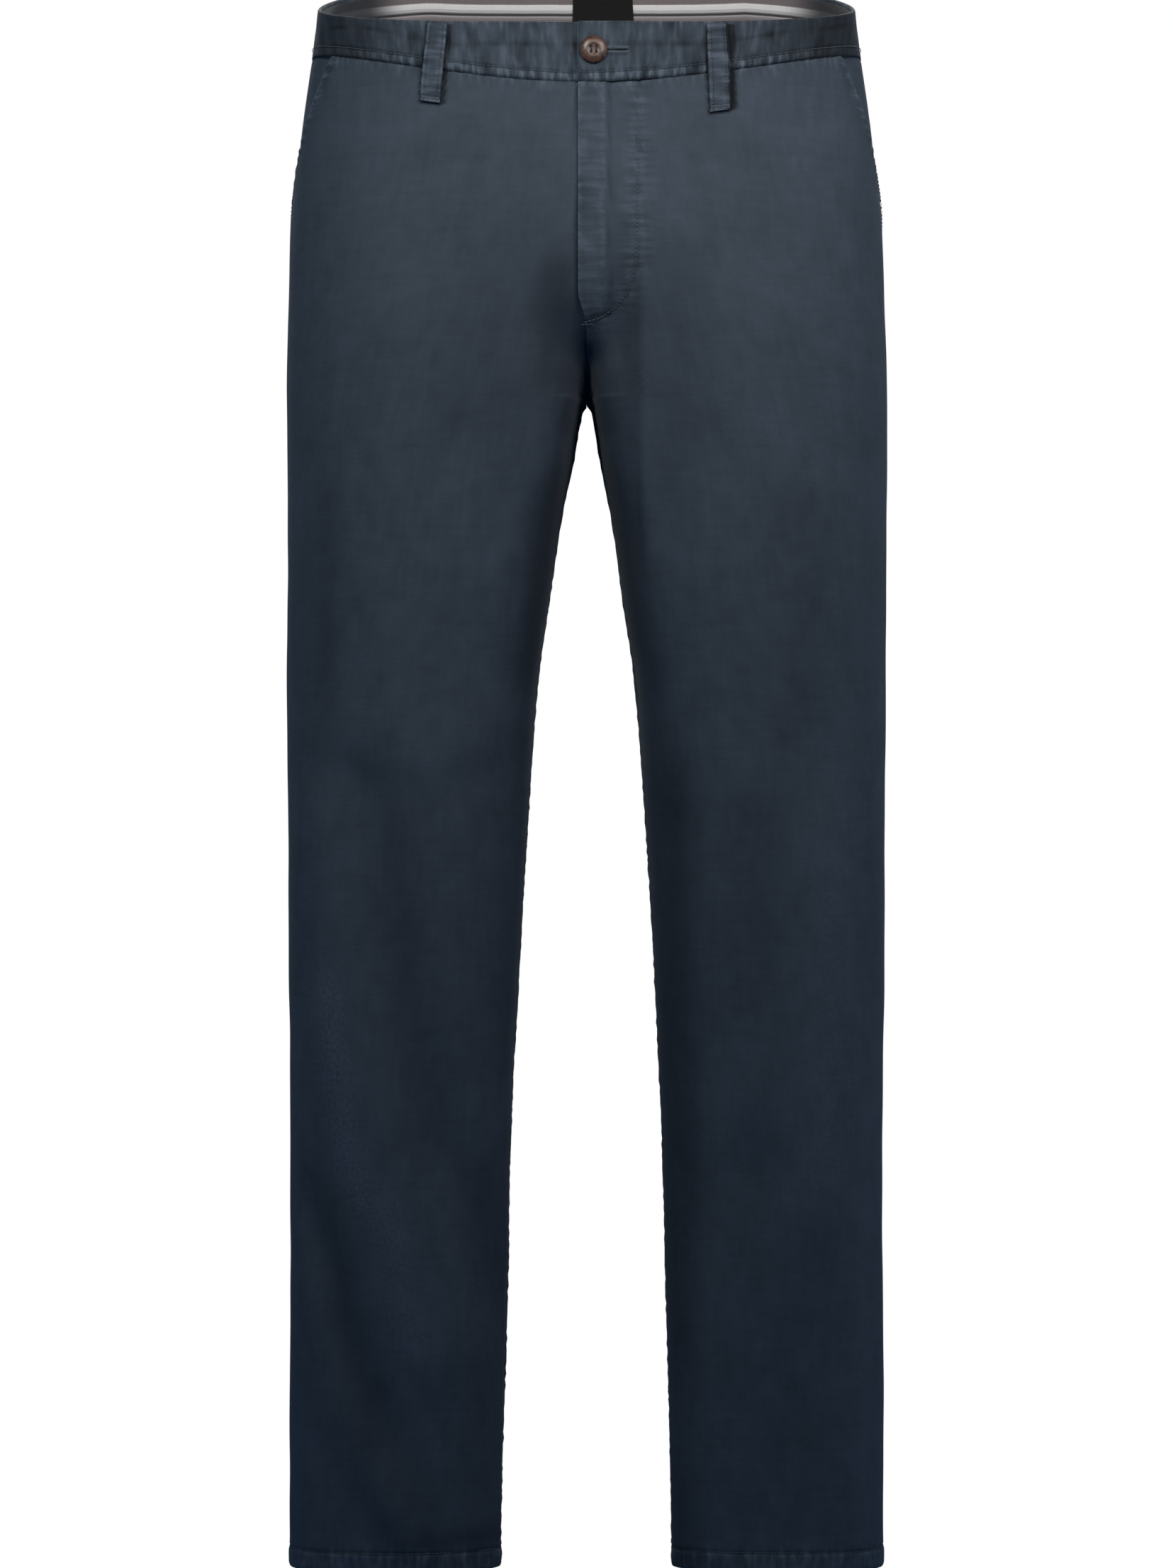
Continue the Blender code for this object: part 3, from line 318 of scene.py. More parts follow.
def level(z, column):
    """One column of LEVELS at the heights z, on a monotone cubic through its rows."""
    knots = np.array([row.z for row in LEVELS])[::-1]
    values = np.array([getattr(row, column) for row in LEVELS])[::-1]
    spans = np.diff(knots)
    rates = np.diff(values) / spans
    slopes = np.zeros(len(knots))
    slopes[0], slopes[-1] = rates[0], rates[-1]
    before, after = rates[:-1], rates[1:]
    same = before * after > 0.0
    slopes[1:-1][same] = 2.0 * before[same] * after[same] / (before[same] + after[same])
    i = np.clip(np.searchsorted(knots, z) - 1, 0, len(spans) - 1)
    t = np.clip((z - knots[i]) / spans[i], 0.0, 1.0)
    start = values[i] * (1 + 2 * t) * (1 - t) ** 2 + slopes[i] * spans[i] * t * (1 - t) ** 2
    end = values[i + 1] * t * t * (3 - 2 * t) - slopes[i + 1] * spans[i] * t * t * (1 - t)
    return start + end


def bezier(a, b, c, d, t):
    """A cubic Bezier curve on arrays of (x, y) points."""
    s = 1.0 - t
    return a * s ** 3 + 3 * b * s * s * t + 3 * c * s * t * t + d * t ** 3


def crotch_depth(z):
    """How far down the crotch seam z is, from 0 to 1."""
    return np.clip((TILT_END_Z - z) / (TILT_END_Z - CROTCH_Z), 0.0, 1.0)


def inner_quarter(seam_x, flat_x, flat_y, z, round_handle, square_handle, t):
    """Points of the inner quarter of a section, from the crotch seam or inseam where t is 0 out to
    the middle of its flat where t is 1. Both handles run towards one corner, which moves in to the
    seam on the way down to the crotch."""
    depth = crotch_depth(z)
    turned = ease(depth ** CORNER_LATE)
    left = 1.0 - depth ** CROTCH_CURVE
    seam_y, slack_y = flat_y * left ** CROTCH_FULL, flat_y * left ** CROTCH_SLACK
    corner_x = seam_x + INNER_CORNER * (1.0 - turned) * (flat_x - seam_x)
    thigh = 1.0 - ease((CROTCH_Z - z) / (CROTCH_Z - SQUARE_END_Z))
    handle = (round_handle + (square_handle - round_handle) * turned * thigh)[..., None]
    seam = np.stack([seam_x, slack_y], axis=-1)
    flat = np.stack([flat_x, flat_y], axis=-1)
    corner = np.stack([corner_x, flat_y], axis=-1)
    points = bezier(seam, seam + handle * (corner - seam), flat + handle * (corner - flat), flat, t)
    points[..., 1] += (seam_y - slack_y) * (1.0 - t[..., 0]) ** SEAM_PULL
    return points


def section(u, z):
    """Points (x, y, z) of the left half at the shares u and heights z. A share below 0 or above 1 is
    past the centre, on the other half."""
    u, z = np.broadcast_arrays(np.asarray(u, float), np.asarray(z, float))
    past = (u < 0.0) | (u > 1.0)
    u = np.where(u < 0.0, -u, np.where(u > 1.0, 2.0 - u, u))
    outer, gap = level(z, "outer"), level(z, "gap")
    front, back = level(z, "front"), level(z, "back")
    front_x, back_x = level(z, "front_x"), level(z, "back_x")

    def pair(x, y):
        return np.stack([x + 0.0 * z, y + 0.0 * z], axis=-1)

    side, front_flat, back_flat = pair(outer, 0.0), pair(front_x, front), pair(back_x, back)
    f, b = FRONT_ROUND, BACK_ROUND
    t = (u * 4.0) % 1.0
    t = np.where(u >= 1.0, 1.0, t)[..., None]
    quarters = (
        inner_quarter(gap, front_x, front, z, f, FRONT_SQUARE, t),
        bezier(front_flat, front_flat + pair(f * (outer - front_x), 0.0),
               side + pair(0.0, f * front), side, t),
        bezier(side, side + pair(0.0, b * back),
               back_flat + pair(b * (outer - back_x), 0.0), back_flat, t),
        inner_quarter(gap, back_x, back, z, b, BACK_SQUARE, 1.0 - t),
    )
    quarter = np.clip((u * 4.0).astype(int), 0, 3)[..., None]
    xy = np.choose(quarter, quarters)
    x = np.where(past, -xy[..., 0], xy[..., 0])
    return np.stack([x, xy[..., 1], z], axis=-1)


def outward(u, z):
    """Unit normals of the surface, pointing out of the garment."""
    du, dz = 0.0008, 0.6
    inside = np.where(u < 0.0, np.minimum(u, -du), np.clip(u, du, 1.0 - du))
    inside = np.where(u > 1.0, np.maximum(u, 1.0 + du), inside)
    along = section(inside + du, z) - section(inside - du, z)
    up = section(inside, z + dz) - section(inside, z - dz)
    normal = np.cross(along, up)
    return normal / np.linalg.norm(normal, axis=-1, keepdims=True)


def line_distance(flat, stops):
    """How far points lie from a line of stops: across it, and past its ends."""
    nearest = np.full(flat.shape[:-1], np.inf)
    beyond = np.zeros(flat.shape[:-1])
    for a, b in zip(stops[:-1], stops[1:]):
        run = b - a
        share = ((flat - a) @ run) / (run @ run)
        inside = np.clip(share, 0.0, 1.0)
        away = np.linalg.norm(flat - (a + inside[..., None] * run), axis=-1)
        beyond = np.where(away < nearest, np.abs(share - inside) * math.sqrt(run @ run), beyond)
        nearest = np.minimum(nearest, away)
    return np.sqrt(np.maximum(nearest ** 2 - beyond ** 2, 0.0)), beyond


def facing(normals, face):
    """How far the cloth faces the front or the back, from -1 to 1."""
    return normals[..., 1] * (-1.0 if face == "front" else 1.0)


def laid(marks, points, normals, taper, turn):
    """The amount of each mark at the world points."""
    flat = points[..., (0, 2)]
    for mark in marks:
        stops = np.array([(mark.x1, mark.z1), (mark.x2, mark.z2), (mark.x3, mark.z3)])
        across, beyond = line_distance(flat, stops)
        seen = ease(facing(normals, mark.face) * turn)
        yield mark.amount * bell(across, mark.width) * bell(beyond, taper) * seen


def fold_height(points, normals):
    """How far the folds move each world point out along its normal."""
    return sum(laid(FOLDS, points, normals, FOLD_TAPER, FOLD_TURN))


def waist_edge(u, front, side, back, curve=None):
    """Height of an edge of the waistband at the shares u."""
    at = section(u, np.full(np.shape(u), WAIST_Z))
    if curve:
        wide = np.clip(np.abs(at[..., 0]) / WAIST_HALF_WIDTH, 0.0, 1.0)
        share = 1.0 - wide ** curve
    else:
        share = np.clip(np.abs(at[..., 1]) / WAIST_HALF_DEPTH, 0.0, 1.0)
    return np.where(at[..., 1] < 0.0, side + (front - side) * share, side + (back - side) * share)


def top_edge(u):
    return waist_edge(u, TOP_FRONT, TOP_SIDE, TOP_BACK)


def waist_seam(u):
    return waist_edge(u, SEAM_FRONT, SEAM_SIDE, SEAM_BACK, SEAM_CURVE)


def ripple(t, wave, seed, parts=3):
    """Irregular waves along t, about as long as wave, from about -1 to 1."""
    draw = np.random.default_rng(seed)
    total = np.zeros(np.shape(t))
    for _ in range(parts):
        long = wave * draw.uniform(0.75, 1.5)
        drift = long * draw.uniform(2.7, 5.5)
        start, slow = draw.uniform(0.0, math.tau, 2)
        total = total + np.sin(math.tau * t / long + start + 1.4 * np.sin(math.tau * t / drift + slow))
    return total / (0.62 * parts)


def patchy(t, wave, seed):
    """A slow strength along t from 0 to 1, for puckers that come and go."""
    return 0.5 + 0.5 * np.clip(ripple(t, wave, seed, 2), -1.0, 1.0)


def undulate(points, wave, seed, tall):
    """Soft unevenness over the surface, longer up and down than across by the factor tall."""
    draw = np.random.default_rng(seed)
    total = np.zeros(points.shape[:-1])
    for _ in range(7):
        angle = draw.uniform(-0.9, 0.9)
        long = wave * draw.uniform(0.7, 1.7)
        across = points[..., 0] * math.cos(angle) + points[..., 2] / tall * math.sin(angle)
        bend = 0.6 * np.sin(points[..., 2] / (wave * tall * 0.8) + draw.uniform(0.0, math.tau))
        total = total + np.sin(math.tau * across / long + bend + draw.uniform(0.0, math.tau))
    return total / 4.0


# ---------------------------------------------------------------- grids of cloth

# What the materials read at each point: pale from wear and from painted light, dark from painted shade,
# and puckered along or across a seam
LAYERS = ("wear", "shade", "pucker_up", "pucker_across")


class Cloth:
    """A grid of cloth: shares u, heights z, points, normals, layers and distances from its edges."""

    def __init__(self, side, u, z):
        self.side, self.u, self.z = side, u, z
        flip = np.array([side, 1.0, 1.0])
        self.plain = section(u, z)
        self.points = self.plain * flip
        self.normals = outward(u, z) * flip
        across = np.linalg.norm(np.diff(self.points, axis=1), axis=-1)
        self.start = np.concatenate([np.zeros((len(u), 1)), np.cumsum(across, axis=1)], axis=1)
        self.end = self.start[:, -1:] - self.start
        down = np.linalg.norm(np.diff(self.points, axis=0), axis=-1)
        self.down = np.concatenate([np.zeros((1, u.shape[1])), np.cumsum(down, axis=0)], axis=0)
        for layer in LAYERS:
            setattr(self, layer, np.zeros(u.shape))

    def x(self):
        """Distance from the centre plane, positive on the cloth's own half."""
        return self.plain[..., 0]

    def lifted(self, height):
        """The points moved out along their normals."""
        height = np.broadcast_to(height, self.u.shape)
        return self.points + self.normals * height[..., None]


def row_heights(u, side_z, drop):
    """Heights of one row at the shares u: near the waist it follows the waist seam, and near the
    crotch it dips to the crotch seam at the centre."""
    from_waist = ease((side_z - TILT_END_Z) / (WAIST_Z - TILT_END_Z))
    z = side_z + (waist_seam(u) - WAIST_Z) * from_waist
    to_centre = np.clip(1.0 - np.minimum(np.abs(u), np.abs(1.0 - u)) / 0.25, 0.0, 1.0)
    return z + drop * to_centre ** 2


def panel_rows(top, crotch, thigh, leg, hem):
    """Each row of a panel as its height at the side and its drop at the crotch seam, with so many
    rows in each stretch."""
    rows = [(WAIST_Z + (TILT_END_Z - WAIST_Z) * i / top, 0.0) for i in range(top)]
    span = CROTCH_Z - TILT_END_Z
    for i in range(crotch):
        share = i / crotch
        seam = math.sin(share * math.pi / 2) ** (2.0 / CROTCH_CURVE)
        rows.append((TILT_END_Z + span * share, span * (seam - share)))
    knee = CROTCH_Z - 96.0
    rows += [(CROTCH_Z + (knee - CROTCH_Z) * (i / thigh) ** 1.5, 0.0) for i in range(thigh)]
    foot = HEM_Z + HEM_TURN + 5.0
    rows += [(knee + (foot - knee) * i / leg, 0.0) for i in range(leg)]
    rows += [(foot + (HEM_Z - foot) * i / hem, 0.0) for i in range(hem + 1)]
    return rows


def mouth_u(z):
    """Share at the front pocket's mouth, where the front panel ends, or the side seam below it."""
    along = np.clip((z - MOUTH_END_Z) / (SEAM_SIDE - MOUTH_END_Z), 0.0, 1.0)
    return SIDE_SEAM_U + (MOUTH_TOP_U - SIDE_SEAM_U) * along ** 1.25


def fly_edge(z):
    """The x of the left front's edge: past the centre along the fly, at it below."""
    return -LAP * ease((z - FLY_END_Z + FLY_END_FALL) / FLY_END_FALL)


def even_shares(line, u, begin, count):
    """Shares of count points at even steps of cloth along one row, from begin to its end."""
    steps = np.linalg.norm(np.diff(line, axis=0), axis=1)
    length = np.concatenate([[0.0], np.cumsum(steps)])
    first = np.interp(begin, np.arange(len(line)), length)
    places = np.linspace(first, length[-1], count)
    return np.interp(places, length, u)


def panel_grid(side, rows, u_start, u_end, count, edge_x=None):
    """The grid of one panel. Where edge_x is given, rows that reach the fly begin at its x."""
    shares, heights = [], []
    for side_z, drop in rows:
        laps = edge_x is not None and side_z + drop > FLY_END_Z - FLY_END_FALL
        u = np.linspace(-PAST_CENTRE if laps else u_start, u_end(side_z), DENSE)
        line = section(u, row_heights(u, side_z, drop))
        begin = 0.0
        if laps:
            near = line[:FLY_POINTS, 0]
            begin = float(np.interp(edge_x(side_z + drop), near, np.arange(FLY_POINTS)))
        row = even_shares(line, u, begin, count)
        shares.append(row)
        heights.append(row_heights(row, side_z, drop))
    return Cloth(side, np.array(shares), np.array(heights))


def band_start(side):
    """The x at which a half of the band begins: the left one laps over the right one."""
    return -BAND_LAP if side > 0 else -UNDERLAP


def band_grid(side, start_x, low, high, rows, count):
    """The grid of a strip of the waistband between two edges, from the bottom up."""
    u = np.linspace(-PAST_CENTRE, 1.0, DENSE)
    line = section(u, waist_seam(u))
    begin = float(np.interp(start_x, line[:BAND_POINTS, 0], np.arange(BAND_POINTS)))
    shares = even_shares(line, u, begin, count)
    u = np.repeat(shares[None, :], len(rows), axis=0)
    share = np.asarray(rows)[:, None]
    return Cloth(side, u, low(u) + (high(u) - low(u)) * share)


def share_at_x(x, z, face):
    """The share whose surface point has this x (0 or more) on the front or the back."""
    low, high = (0.0, 0.42) if face == "front" else (0.58, 1.0)
    u = np.linspace(low, high, DENSE)
    points = section(u, np.full(DENSE, z))
    order = np.argsort(points[:, 0])
    return float(np.interp(x, points[order, 0], u[order]))


def share_across(x, z):
    """The share on the front at this x, below 0 where the x is past the centre."""
    return math.copysign(share_at_x(abs(x), z, "front"), x)


# ---------------------------------------------------------------- meshes

def closed_mesh(name, skins, uv, layers):
    """A closed mesh between two grids of points with the same rows and columns, with a UV in metres
    and float attributes on its points."""
    rows, columns = skins[0].shape[:2]
    count = rows * columns
    index = np.arange(count).reshape(rows, columns)
    a, b, c, d = index[:-1, :-1], index[:-1, 1:], index[1:, 1:], index[1:, :-1]
    quads = np.stack([a, b, c, d], axis=-1).reshape(-1, 4)
    back = quads[:, ::-1] + count
    rim = np.concatenate([index[0, :-1], index[:-1, -1], index[-1, :0:-1], index[:0:-1, 0]])
    ahead = np.roll(rim, -1)
    sides = np.stack([rim, rim + count, ahead + count, ahead], axis=-1)
    faces = np.concatenate([quads, back, sides])
    points = np.concatenate([skin.reshape(-1, 3) for skin in skins]) * METRES
    middle = points[faces].mean(axis=1)
    across = np.cross(points[faces[:, 2]] - points[faces[:, 0]], points[faces[:, 3]] - points[faces[:, 1]])
    if np.sum(middle * across) < 0.0:
        faces = faces[:, ::-1]
    mesh = bpy.data.meshes.new(name)
    mesh.vertices.add(len(points))
    mesh.vertices.foreach_set("co", points.astype(np.float32).ravel())
    mesh.loops.add(faces.size)
    mesh.loops.foreach_set("vertex_index", faces.astype(np.int32).ravel())
    mesh.polygons.add(len(faces))
    mesh.polygons.foreach_set("loop_start", np.arange(0, faces.size, 4, dtype=np.int32))
    mesh.update(calc_edges=True)
    flat = np.concatenate([uv.reshape(-1, 2)] * 2) * METRES
    coordinates = mesh.uv_layers.new(name="cloth")
    coordinates.data.foreach_set("uv", flat[faces.ravel()].astype(np.float32).ravel())
    for layer, values in layers.items():
        made = mesh.attributes.new(layer, "FLOAT", "POINT")
        both = np.concatenate([np.clip(values, 0.0, 1.0).ravel()] * 2)
        made.data.foreach_set("value", both.astype(np.float32))
    mesh.shade_smooth()
    mesh.set_sharp_from_angle(angle=math.radians(62.0))
    mesh.validate()
    return mesh


def link(made):
    bpy.context.scene.collection.objects.link(made)


def put(name, mesh, material):
    """Links a mesh as a piece that moves with the garment."""
    mesh.materials.append(material)
    piece = bpy.data.objects.new(name, mesh)
    link(piece)
    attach(piece, BODY)
    return piece


def keep_to_side(points, cloth, distance):
    """Brings a panel's edge back to the centre plane above the crotch, and keeps the panel on its own
    side of it. The distance is from that edge, and infinite where the cloth laps past the plane."""
    near = (1.0 - ease(distance / 3.0)) * (cloth.z > CROTCH_Z - 1.0)
    x = points[..., 0] - points[..., 0] * near
    points[..., 0] = np.where(np.isfinite(distance) & (cloth.side * x < 0.0), 0.0, x)


def grain_uv(cloth, share):
    """The cloth's own coordinates, with the grain along the crease line at this share."""
    crease = np.array([np.interp(share, u, start) for u, start in zip(cloth.u, cloth.start)])
    return np.stack([cloth.start - crease[:, None], cloth.z], axis=-1)


def shell(cloth, height, thick):
    """The outer and inner skins of cloth with this relief and thickness."""
    outer = cloth.lifted(height)
    return outer, outer - cloth.normals * np.broadcast_to(thick, cloth.u.shape)[..., None]


def sheet(node, cloth, skins, material, name=None, uv=None, layers=LAYERS):
    """Makes one piece of cloth and hides the solid that it finishes."""
    name = name or "cloth_" + node
    uv = np.stack([cloth.start, -cloth.down], axis=-1) if uv is None else uv
    mesh = closed_mesh(name, skins, uv, {layer: getattr(cloth, layer) for layer in layers})
    piece = put(name, mesh, material)
    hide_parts(node)


# ---------------------------------------------------------------- stitches

STITCH_SIDES = 5
STITCH_FILL = 0.82       # length of a stitch over the pitch between two
STITCH_SINK = 0.12

# Length and radius of the other bars of thread, and of a tooth of the zip
TACK_BAR = (1.7, 0.27)
LIP_BAR = (2.2, 0.27)
TOOTH_BAR = (3.4, 0.62)
LOOP_STITCH = (2.6, 2.1, 0.24, 0.1)     # pitch, length, radius and sink
ACROSS, ALONG, UP = np.eye(3)
STITCH_RINGS = ((-0.5, 0.35), (-0.36, 0.92), (0.0, 1.0), (0.36, 0.92), (0.5, 0.35))


def stitch_points(points, normals, pitch, length, radius, sink):
    """Vertices and faces of thread stitches laid end to end along a line of points."""
    steps = np.linalg.norm(np.diff(points, axis=0), axis=1)
    along = np.concatenate([[0.0], np.cumsum(steps)])
    count = max(int(along[-1] / pitch), 1)
    centres = (np.arange(count) + 0.5) * along[-1] / count
    vertices, faces = [], []
    for centre in centres:
        def at(distance, table):
            return np.array([np.interp(distance, along, table[:, k]) for k in range(3)])
        middle = at(centre, points)
        ahead = at(centre + length / 2, points) - at(centre - length / 2, points)
        run = ahead / np.linalg.norm(ahead)
        up = at(centre, normals)
        up = up - run * (up @ run)
        up = up / np.linalg.norm(up)
        add_bar(vertices, faces, middle + up * (radius - sink), run, up, length, radius)
    return vertices, faces


def add_bar(vertices, faces, middle, run, up, length, radius):
    """Adds one short rounded bar of thread."""
    across = np.cross(run, up)
    first = len(vertices)
    for share, swell in STITCH_RINGS:
        dip = radius * 1.1 * (2 * share) ** 4
        for k in range(STITCH_SIDES):
            angle = math.tau * (k + 0.25) / STITCH_SIDES
            offset = across * math.cos(angle) + up * math.sin(angle)
            vertices.append(middle + run * share * length + offset * radius * swell - up * dip)
    rings = len(STITCH_RINGS)
    for i in range(rings - 1):
        for k in range(STITCH_SIDES):
            a, b = first + i * STITCH_SIDES, first + (i + 1) * STITCH_SIDES
            after = (k + 1) % STITCH_SIDES
            faces.append((a + k, a + after, b + after, b + k))
    last = first + (rings - 1) * STITCH_SIDES
    faces.append(tuple(first + k for k in reversed(range(STITCH_SIDES))))
    faces.append(tuple(last + k for k in range(STITCH_SIDES)))


def upright(normal):
    """The direction along the cloth that runs most nearly up."""
    run = UP - normal * (UP @ normal)
    return run / np.linalg.norm(run)


def thread_piece(name, parts, material):
    """One piece made of many stitches."""
    vertices, faces = [], []
    for part_vertices, part_faces in parts:
        offset = len(vertices)
        vertices += [Vector(v) * METRES for v in part_vertices]
        faces += [tuple(i + offset for i in face) for face in part_faces]
    mesh = bpy.data.meshes.new(name)
    mesh.from_pydata(vertices, [], faces)
    mesh.update()
    shape = bmesh.new()
    shape.from_mesh(mesh)
    bmesh.ops.recalc_face_normals(shape, faces=shape.faces)
    shape.to_mesh(mesh)
    shape.free()
    mesh.shade_smooth()
    put(name, mesh, material)


# ---------------------------------------------------------------- materials

class Wire:
    """A socket of a node tree. Arithmetic on it adds Math nodes."""

    def __init__(self, tree, socket):
        self.tree, self.socket = tree, socket

    def math(self, operation, *values):
        return self.tree.node("ShaderNodeMath", {"operation": operation}, dict(enumerate(values)))

    def __add__(self, other):
        return self.math("ADD", self, other)

    def __radd__(self, other):
        return self.math("ADD", other, self)

    def __sub__(self, other):
        return self.math("SUBTRACT", self, other)

    def __rsub__(self, other):
        return self.math("SUBTRACT", other, self)

    def __mul__(self, other):
        return self.math("MULTIPLY", self, other)

    def __rmul__(self, other):
        return self.math("MULTIPLY", other, self)

    def __truediv__(self, other):
        return self.math("DIVIDE", self, other)

    def __pow__(self, other):
        return self.math("POWER", self, other)

    def sine(self):
        return self.math("SINE", self)


class Tree:
    """Builds the nodes of one material or world."""

    def __init__(self, owner):
        owner.use_nodes = True
        self.nodes, self.links = owner.node_tree.nodes, owner.node_tree.links
        self.nodes.clear()

    def node(self, kind, settings=None, inputs=None, output=0):
        """Adds a node, sets it up, fills its sockets and gives one of its outputs."""
        made = self.nodes.new(kind)
        for key, value in (settings or {}).items():
            if key == "stops":
                ramp = made.color_ramp
                while len(ramp.elements) < len(value):
                    ramp.elements.new(0.5)
                for element, (place, colour) in zip(ramp.elements, value):
                    element.position = place
                    element.color = (*colour, 1.0)
            else:
                setattr(made, key, value)
        for key, value in (inputs or {}).items():
            if isinstance(value, Wire):
                self.links.new(value.socket, made.inputs[key])
            else:
                made.inputs[key].default_value = value
        return Wire(self, made.outputs[output]) if len(made.outputs) else made

    def mix(self, factor, a, b, blend="MIX"):
        """Mixes two colours."""
        settings = {"data_type": "RGBA", "blend_type": blend}
        return self.node("ShaderNodeMix", settings, {0: factor, 6: a, 7: b}, 2)

    def attribute(self, name):
        """A float attribute of the mesh's points."""
        return self.node("ShaderNodeAttribute", {"attribute_name": name}, output=2)

    def cloth_uv(self):
        """The two coordinates of the cloth in metres, across and up."""
        uv = self.node("ShaderNodeUVMap", {"uv_map": "cloth"})
        split = self.node("ShaderNodeSeparateXYZ", inputs={0: uv})
        return split, Wire(self, split.socket.node.outputs[1])

    def noise(self, across, up, detail=2.0, roughness=0.5):
        """Noise at a place in the plane, from 0 to 1."""
        at = self.node("ShaderNodeCombineXYZ", inputs={0: across, 1: up})
        return self.node("ShaderNodeTexNoise", {"noise_dimensions": "2D"},
                         {"Vector": at, "Scale": 1.0, "Detail": detail, "Roughness": roughness})

    def grain(self, scale, detail, distortion=0.0):
        """Noise in the piece's own space, from 0 to 1."""
        at = self.node("ShaderNodeTexCoord", output=3)
        return self.node("ShaderNodeTexNoise", inputs={"Vector": at, "Scale": scale, "Detail": detail,
                                                       "Distortion": distortion})

    def bump(self, height, strength=0.5, distance=0.0002, **more):
        """A bump of this height, its distance in metres."""
        return self.node("ShaderNodeBump", inputs={"Strength": strength, "Distance": distance,
                                                   "Height": height, **more})

    def ribs(self, place, pitch):
        """Even waves along a coordinate in metres."""
        return (place * (math.tau / pitch)).sine()

    def surface(self, sockets):
        """The Principled shader and the output it feeds."""
        shader = self.node("ShaderNodeBsdfPrincipled", inputs=sockets)
        self.node("ShaderNodeOutputMaterial", inputs={"Surface": shader})


def opaque(colour):
    return (*colour, 1.0)


def scaled(colour, factor):
    """A colour made lighter or darker."""
    return opaque([min(value * factor, 1.0) for value in colour])


def new_tree(name):
    made = bpy.data.materials.new(name)
    return made, Tree(made)


TWILL_PITCH = 0.00078    # metres between the diagonal ribs
YARN = 1500.0            # noise cells to a metre across a yarn
SLUB = 95.0              # and along one


def twill_material(name, colour):
    """Garment-washed twill: fine diagonal ribs, uneven yarns, paler where it is worn and where light is
    painted on, darker where shade is painted on, with painted light and shade over the puckers.
    """
    made, tree = new_tree(name)
    u, v = tree.cloth_uv()
    warp = tree.noise(u * YARN, v * SLUB, 2.0, 0.6)
    weft = tree.noise(u * SLUB + 7.3, v * YARN, 2.0, 0.6)
    cloud = tree.noise(u * 30.0, v * 20.0 + 3.1, 1.0, 0.5)
    patch = tree.noise(u * 85.0 + 1.7, v * 60.0, 1.0, 0.5)
    streak = tree.noise(u * 240.0, v * 36.0, 1.0, 0.5)
    streak = streak + tree.noise(u * 32.0, v * 260.0 + 9.0, 1.0, 0.5)
    grain = tree.noise(u * 420.0, v * 380.0, 2.0, 0.6)
    rib = tree.ribs(u + v * 0.62, TWILL_PITCH)
    wear, shade = tree.attribute("wear"), tree.attribute("shade")
    up, across = tree.attribute("pucker_up"), tree.attribute("pucker_across")
    gathers = (tree.noise(u * 34.0, v * 250.0, 1.0, 0.5) - 0.5) * up
    gathers = gathers + (tree.noise(u * 250.0, v * 65.0, 1.0, 0.5) - 0.5) * across
    rumple = (tree.noise(u * 95.0 + 4.0, v * 55.0, 1.0, 0.6) - 0.5) * (up + across)
    # The puckers' relief also tints the colour: painted light on their crests and painted shade in their
    # hollows
    relief = gathers * 3.4 + rumple * 2.0
    worn_and_lit = tree.node("ShaderNodeClamp", inputs={0: wear * (0.75 + (grain - 0.5) * 3.0) + relief})
    painted_dark = tree.node("ShaderNodeClamp", inputs={0: shade - relief * 0.55})
    fleck = (warp - 0.5) * 0.26 + (weft - 0.5) * 0.30 + rib * 0.03
    fleck = fleck + (cloud - 0.5) * 0.46 + (patch - 0.5) * 0.42 + (streak - 1.0) * 0.26
    tone = tree.node("ShaderNodeClamp", inputs={0: fleck + 0.5})
    base = tree.mix(tone, scaled(colour, 0.72), scaled(colour, 1.30))
    # Pale for wear and painted light, then dark for painted shade
    pale = tuple(value * 1.9 + 0.015 for value in colour)
    base = tree.mix(worn_and_lit * 0.8, base, opaque(pale))
    base = tree.mix(painted_dark, base, scaled(colour, 0.16))
    rough = 0.84 + (grain - 0.5) * 0.16
    height = rib * 0.22 + warp * 0.5 + weft * 0.6 + grain * 0.5
    bump = tree.bump(gathers, 0.8, 0.0009, Normal=tree.bump(height, 0.55, 0.00022))
    tree.surface({"Base Color": base, "Roughness": rough, "Normal": bump,
                  "Sheen Weight": 0.04, "Sheen Roughness": 0.45, "Specular IOR Level": 0.16})
    return made


def thread_material(name, colour):
    """Spun polyester thread."""
    made, tree = new_tree(name)
    base = tree.mix(tree.grain(900.0, 2.0), scaled(colour, 0.75), scaled(colour, 1.3))
    tree.surface({"Base Color": base, "Roughness": 0.6, "Sheen Weight": 0.15})
    return made


# Stripes of the lining, by their lower edge below the lining's top edge in millimetres
Stripe = namedtuple("Stripe", "foot colour")
LINING_STRIPES = (
    Stripe(6.1, (0.225, 0.190, 0.200)),
    Stripe(6.6, (0.420, 0.370, 0.370)),
    Stripe(8.4, (1.000, 0.960, 0.950)),
    Stripe(10.4, (0.930, 0.920, 0.950)),
    Stripe(12.3, (0.640, 0.620, 0.650)),
    Stripe(13.0, (0.330, 0.300, 0.310)),
    Stripe(14.7, (0.045, 0.042, 0.050)),
    Stripe(15.9, (0.480, 0.440, 0.460)),
    Stripe(17.2, (0.300, 0.270, 0.290)),
    Stripe(60.0, (0.225, 0.190, 0.200)),
)
STRIPES_DEEP = LINING_STRIPES[-1].foot
WEAVE_PITCH = 0.0006     # metres between the lining's yarns


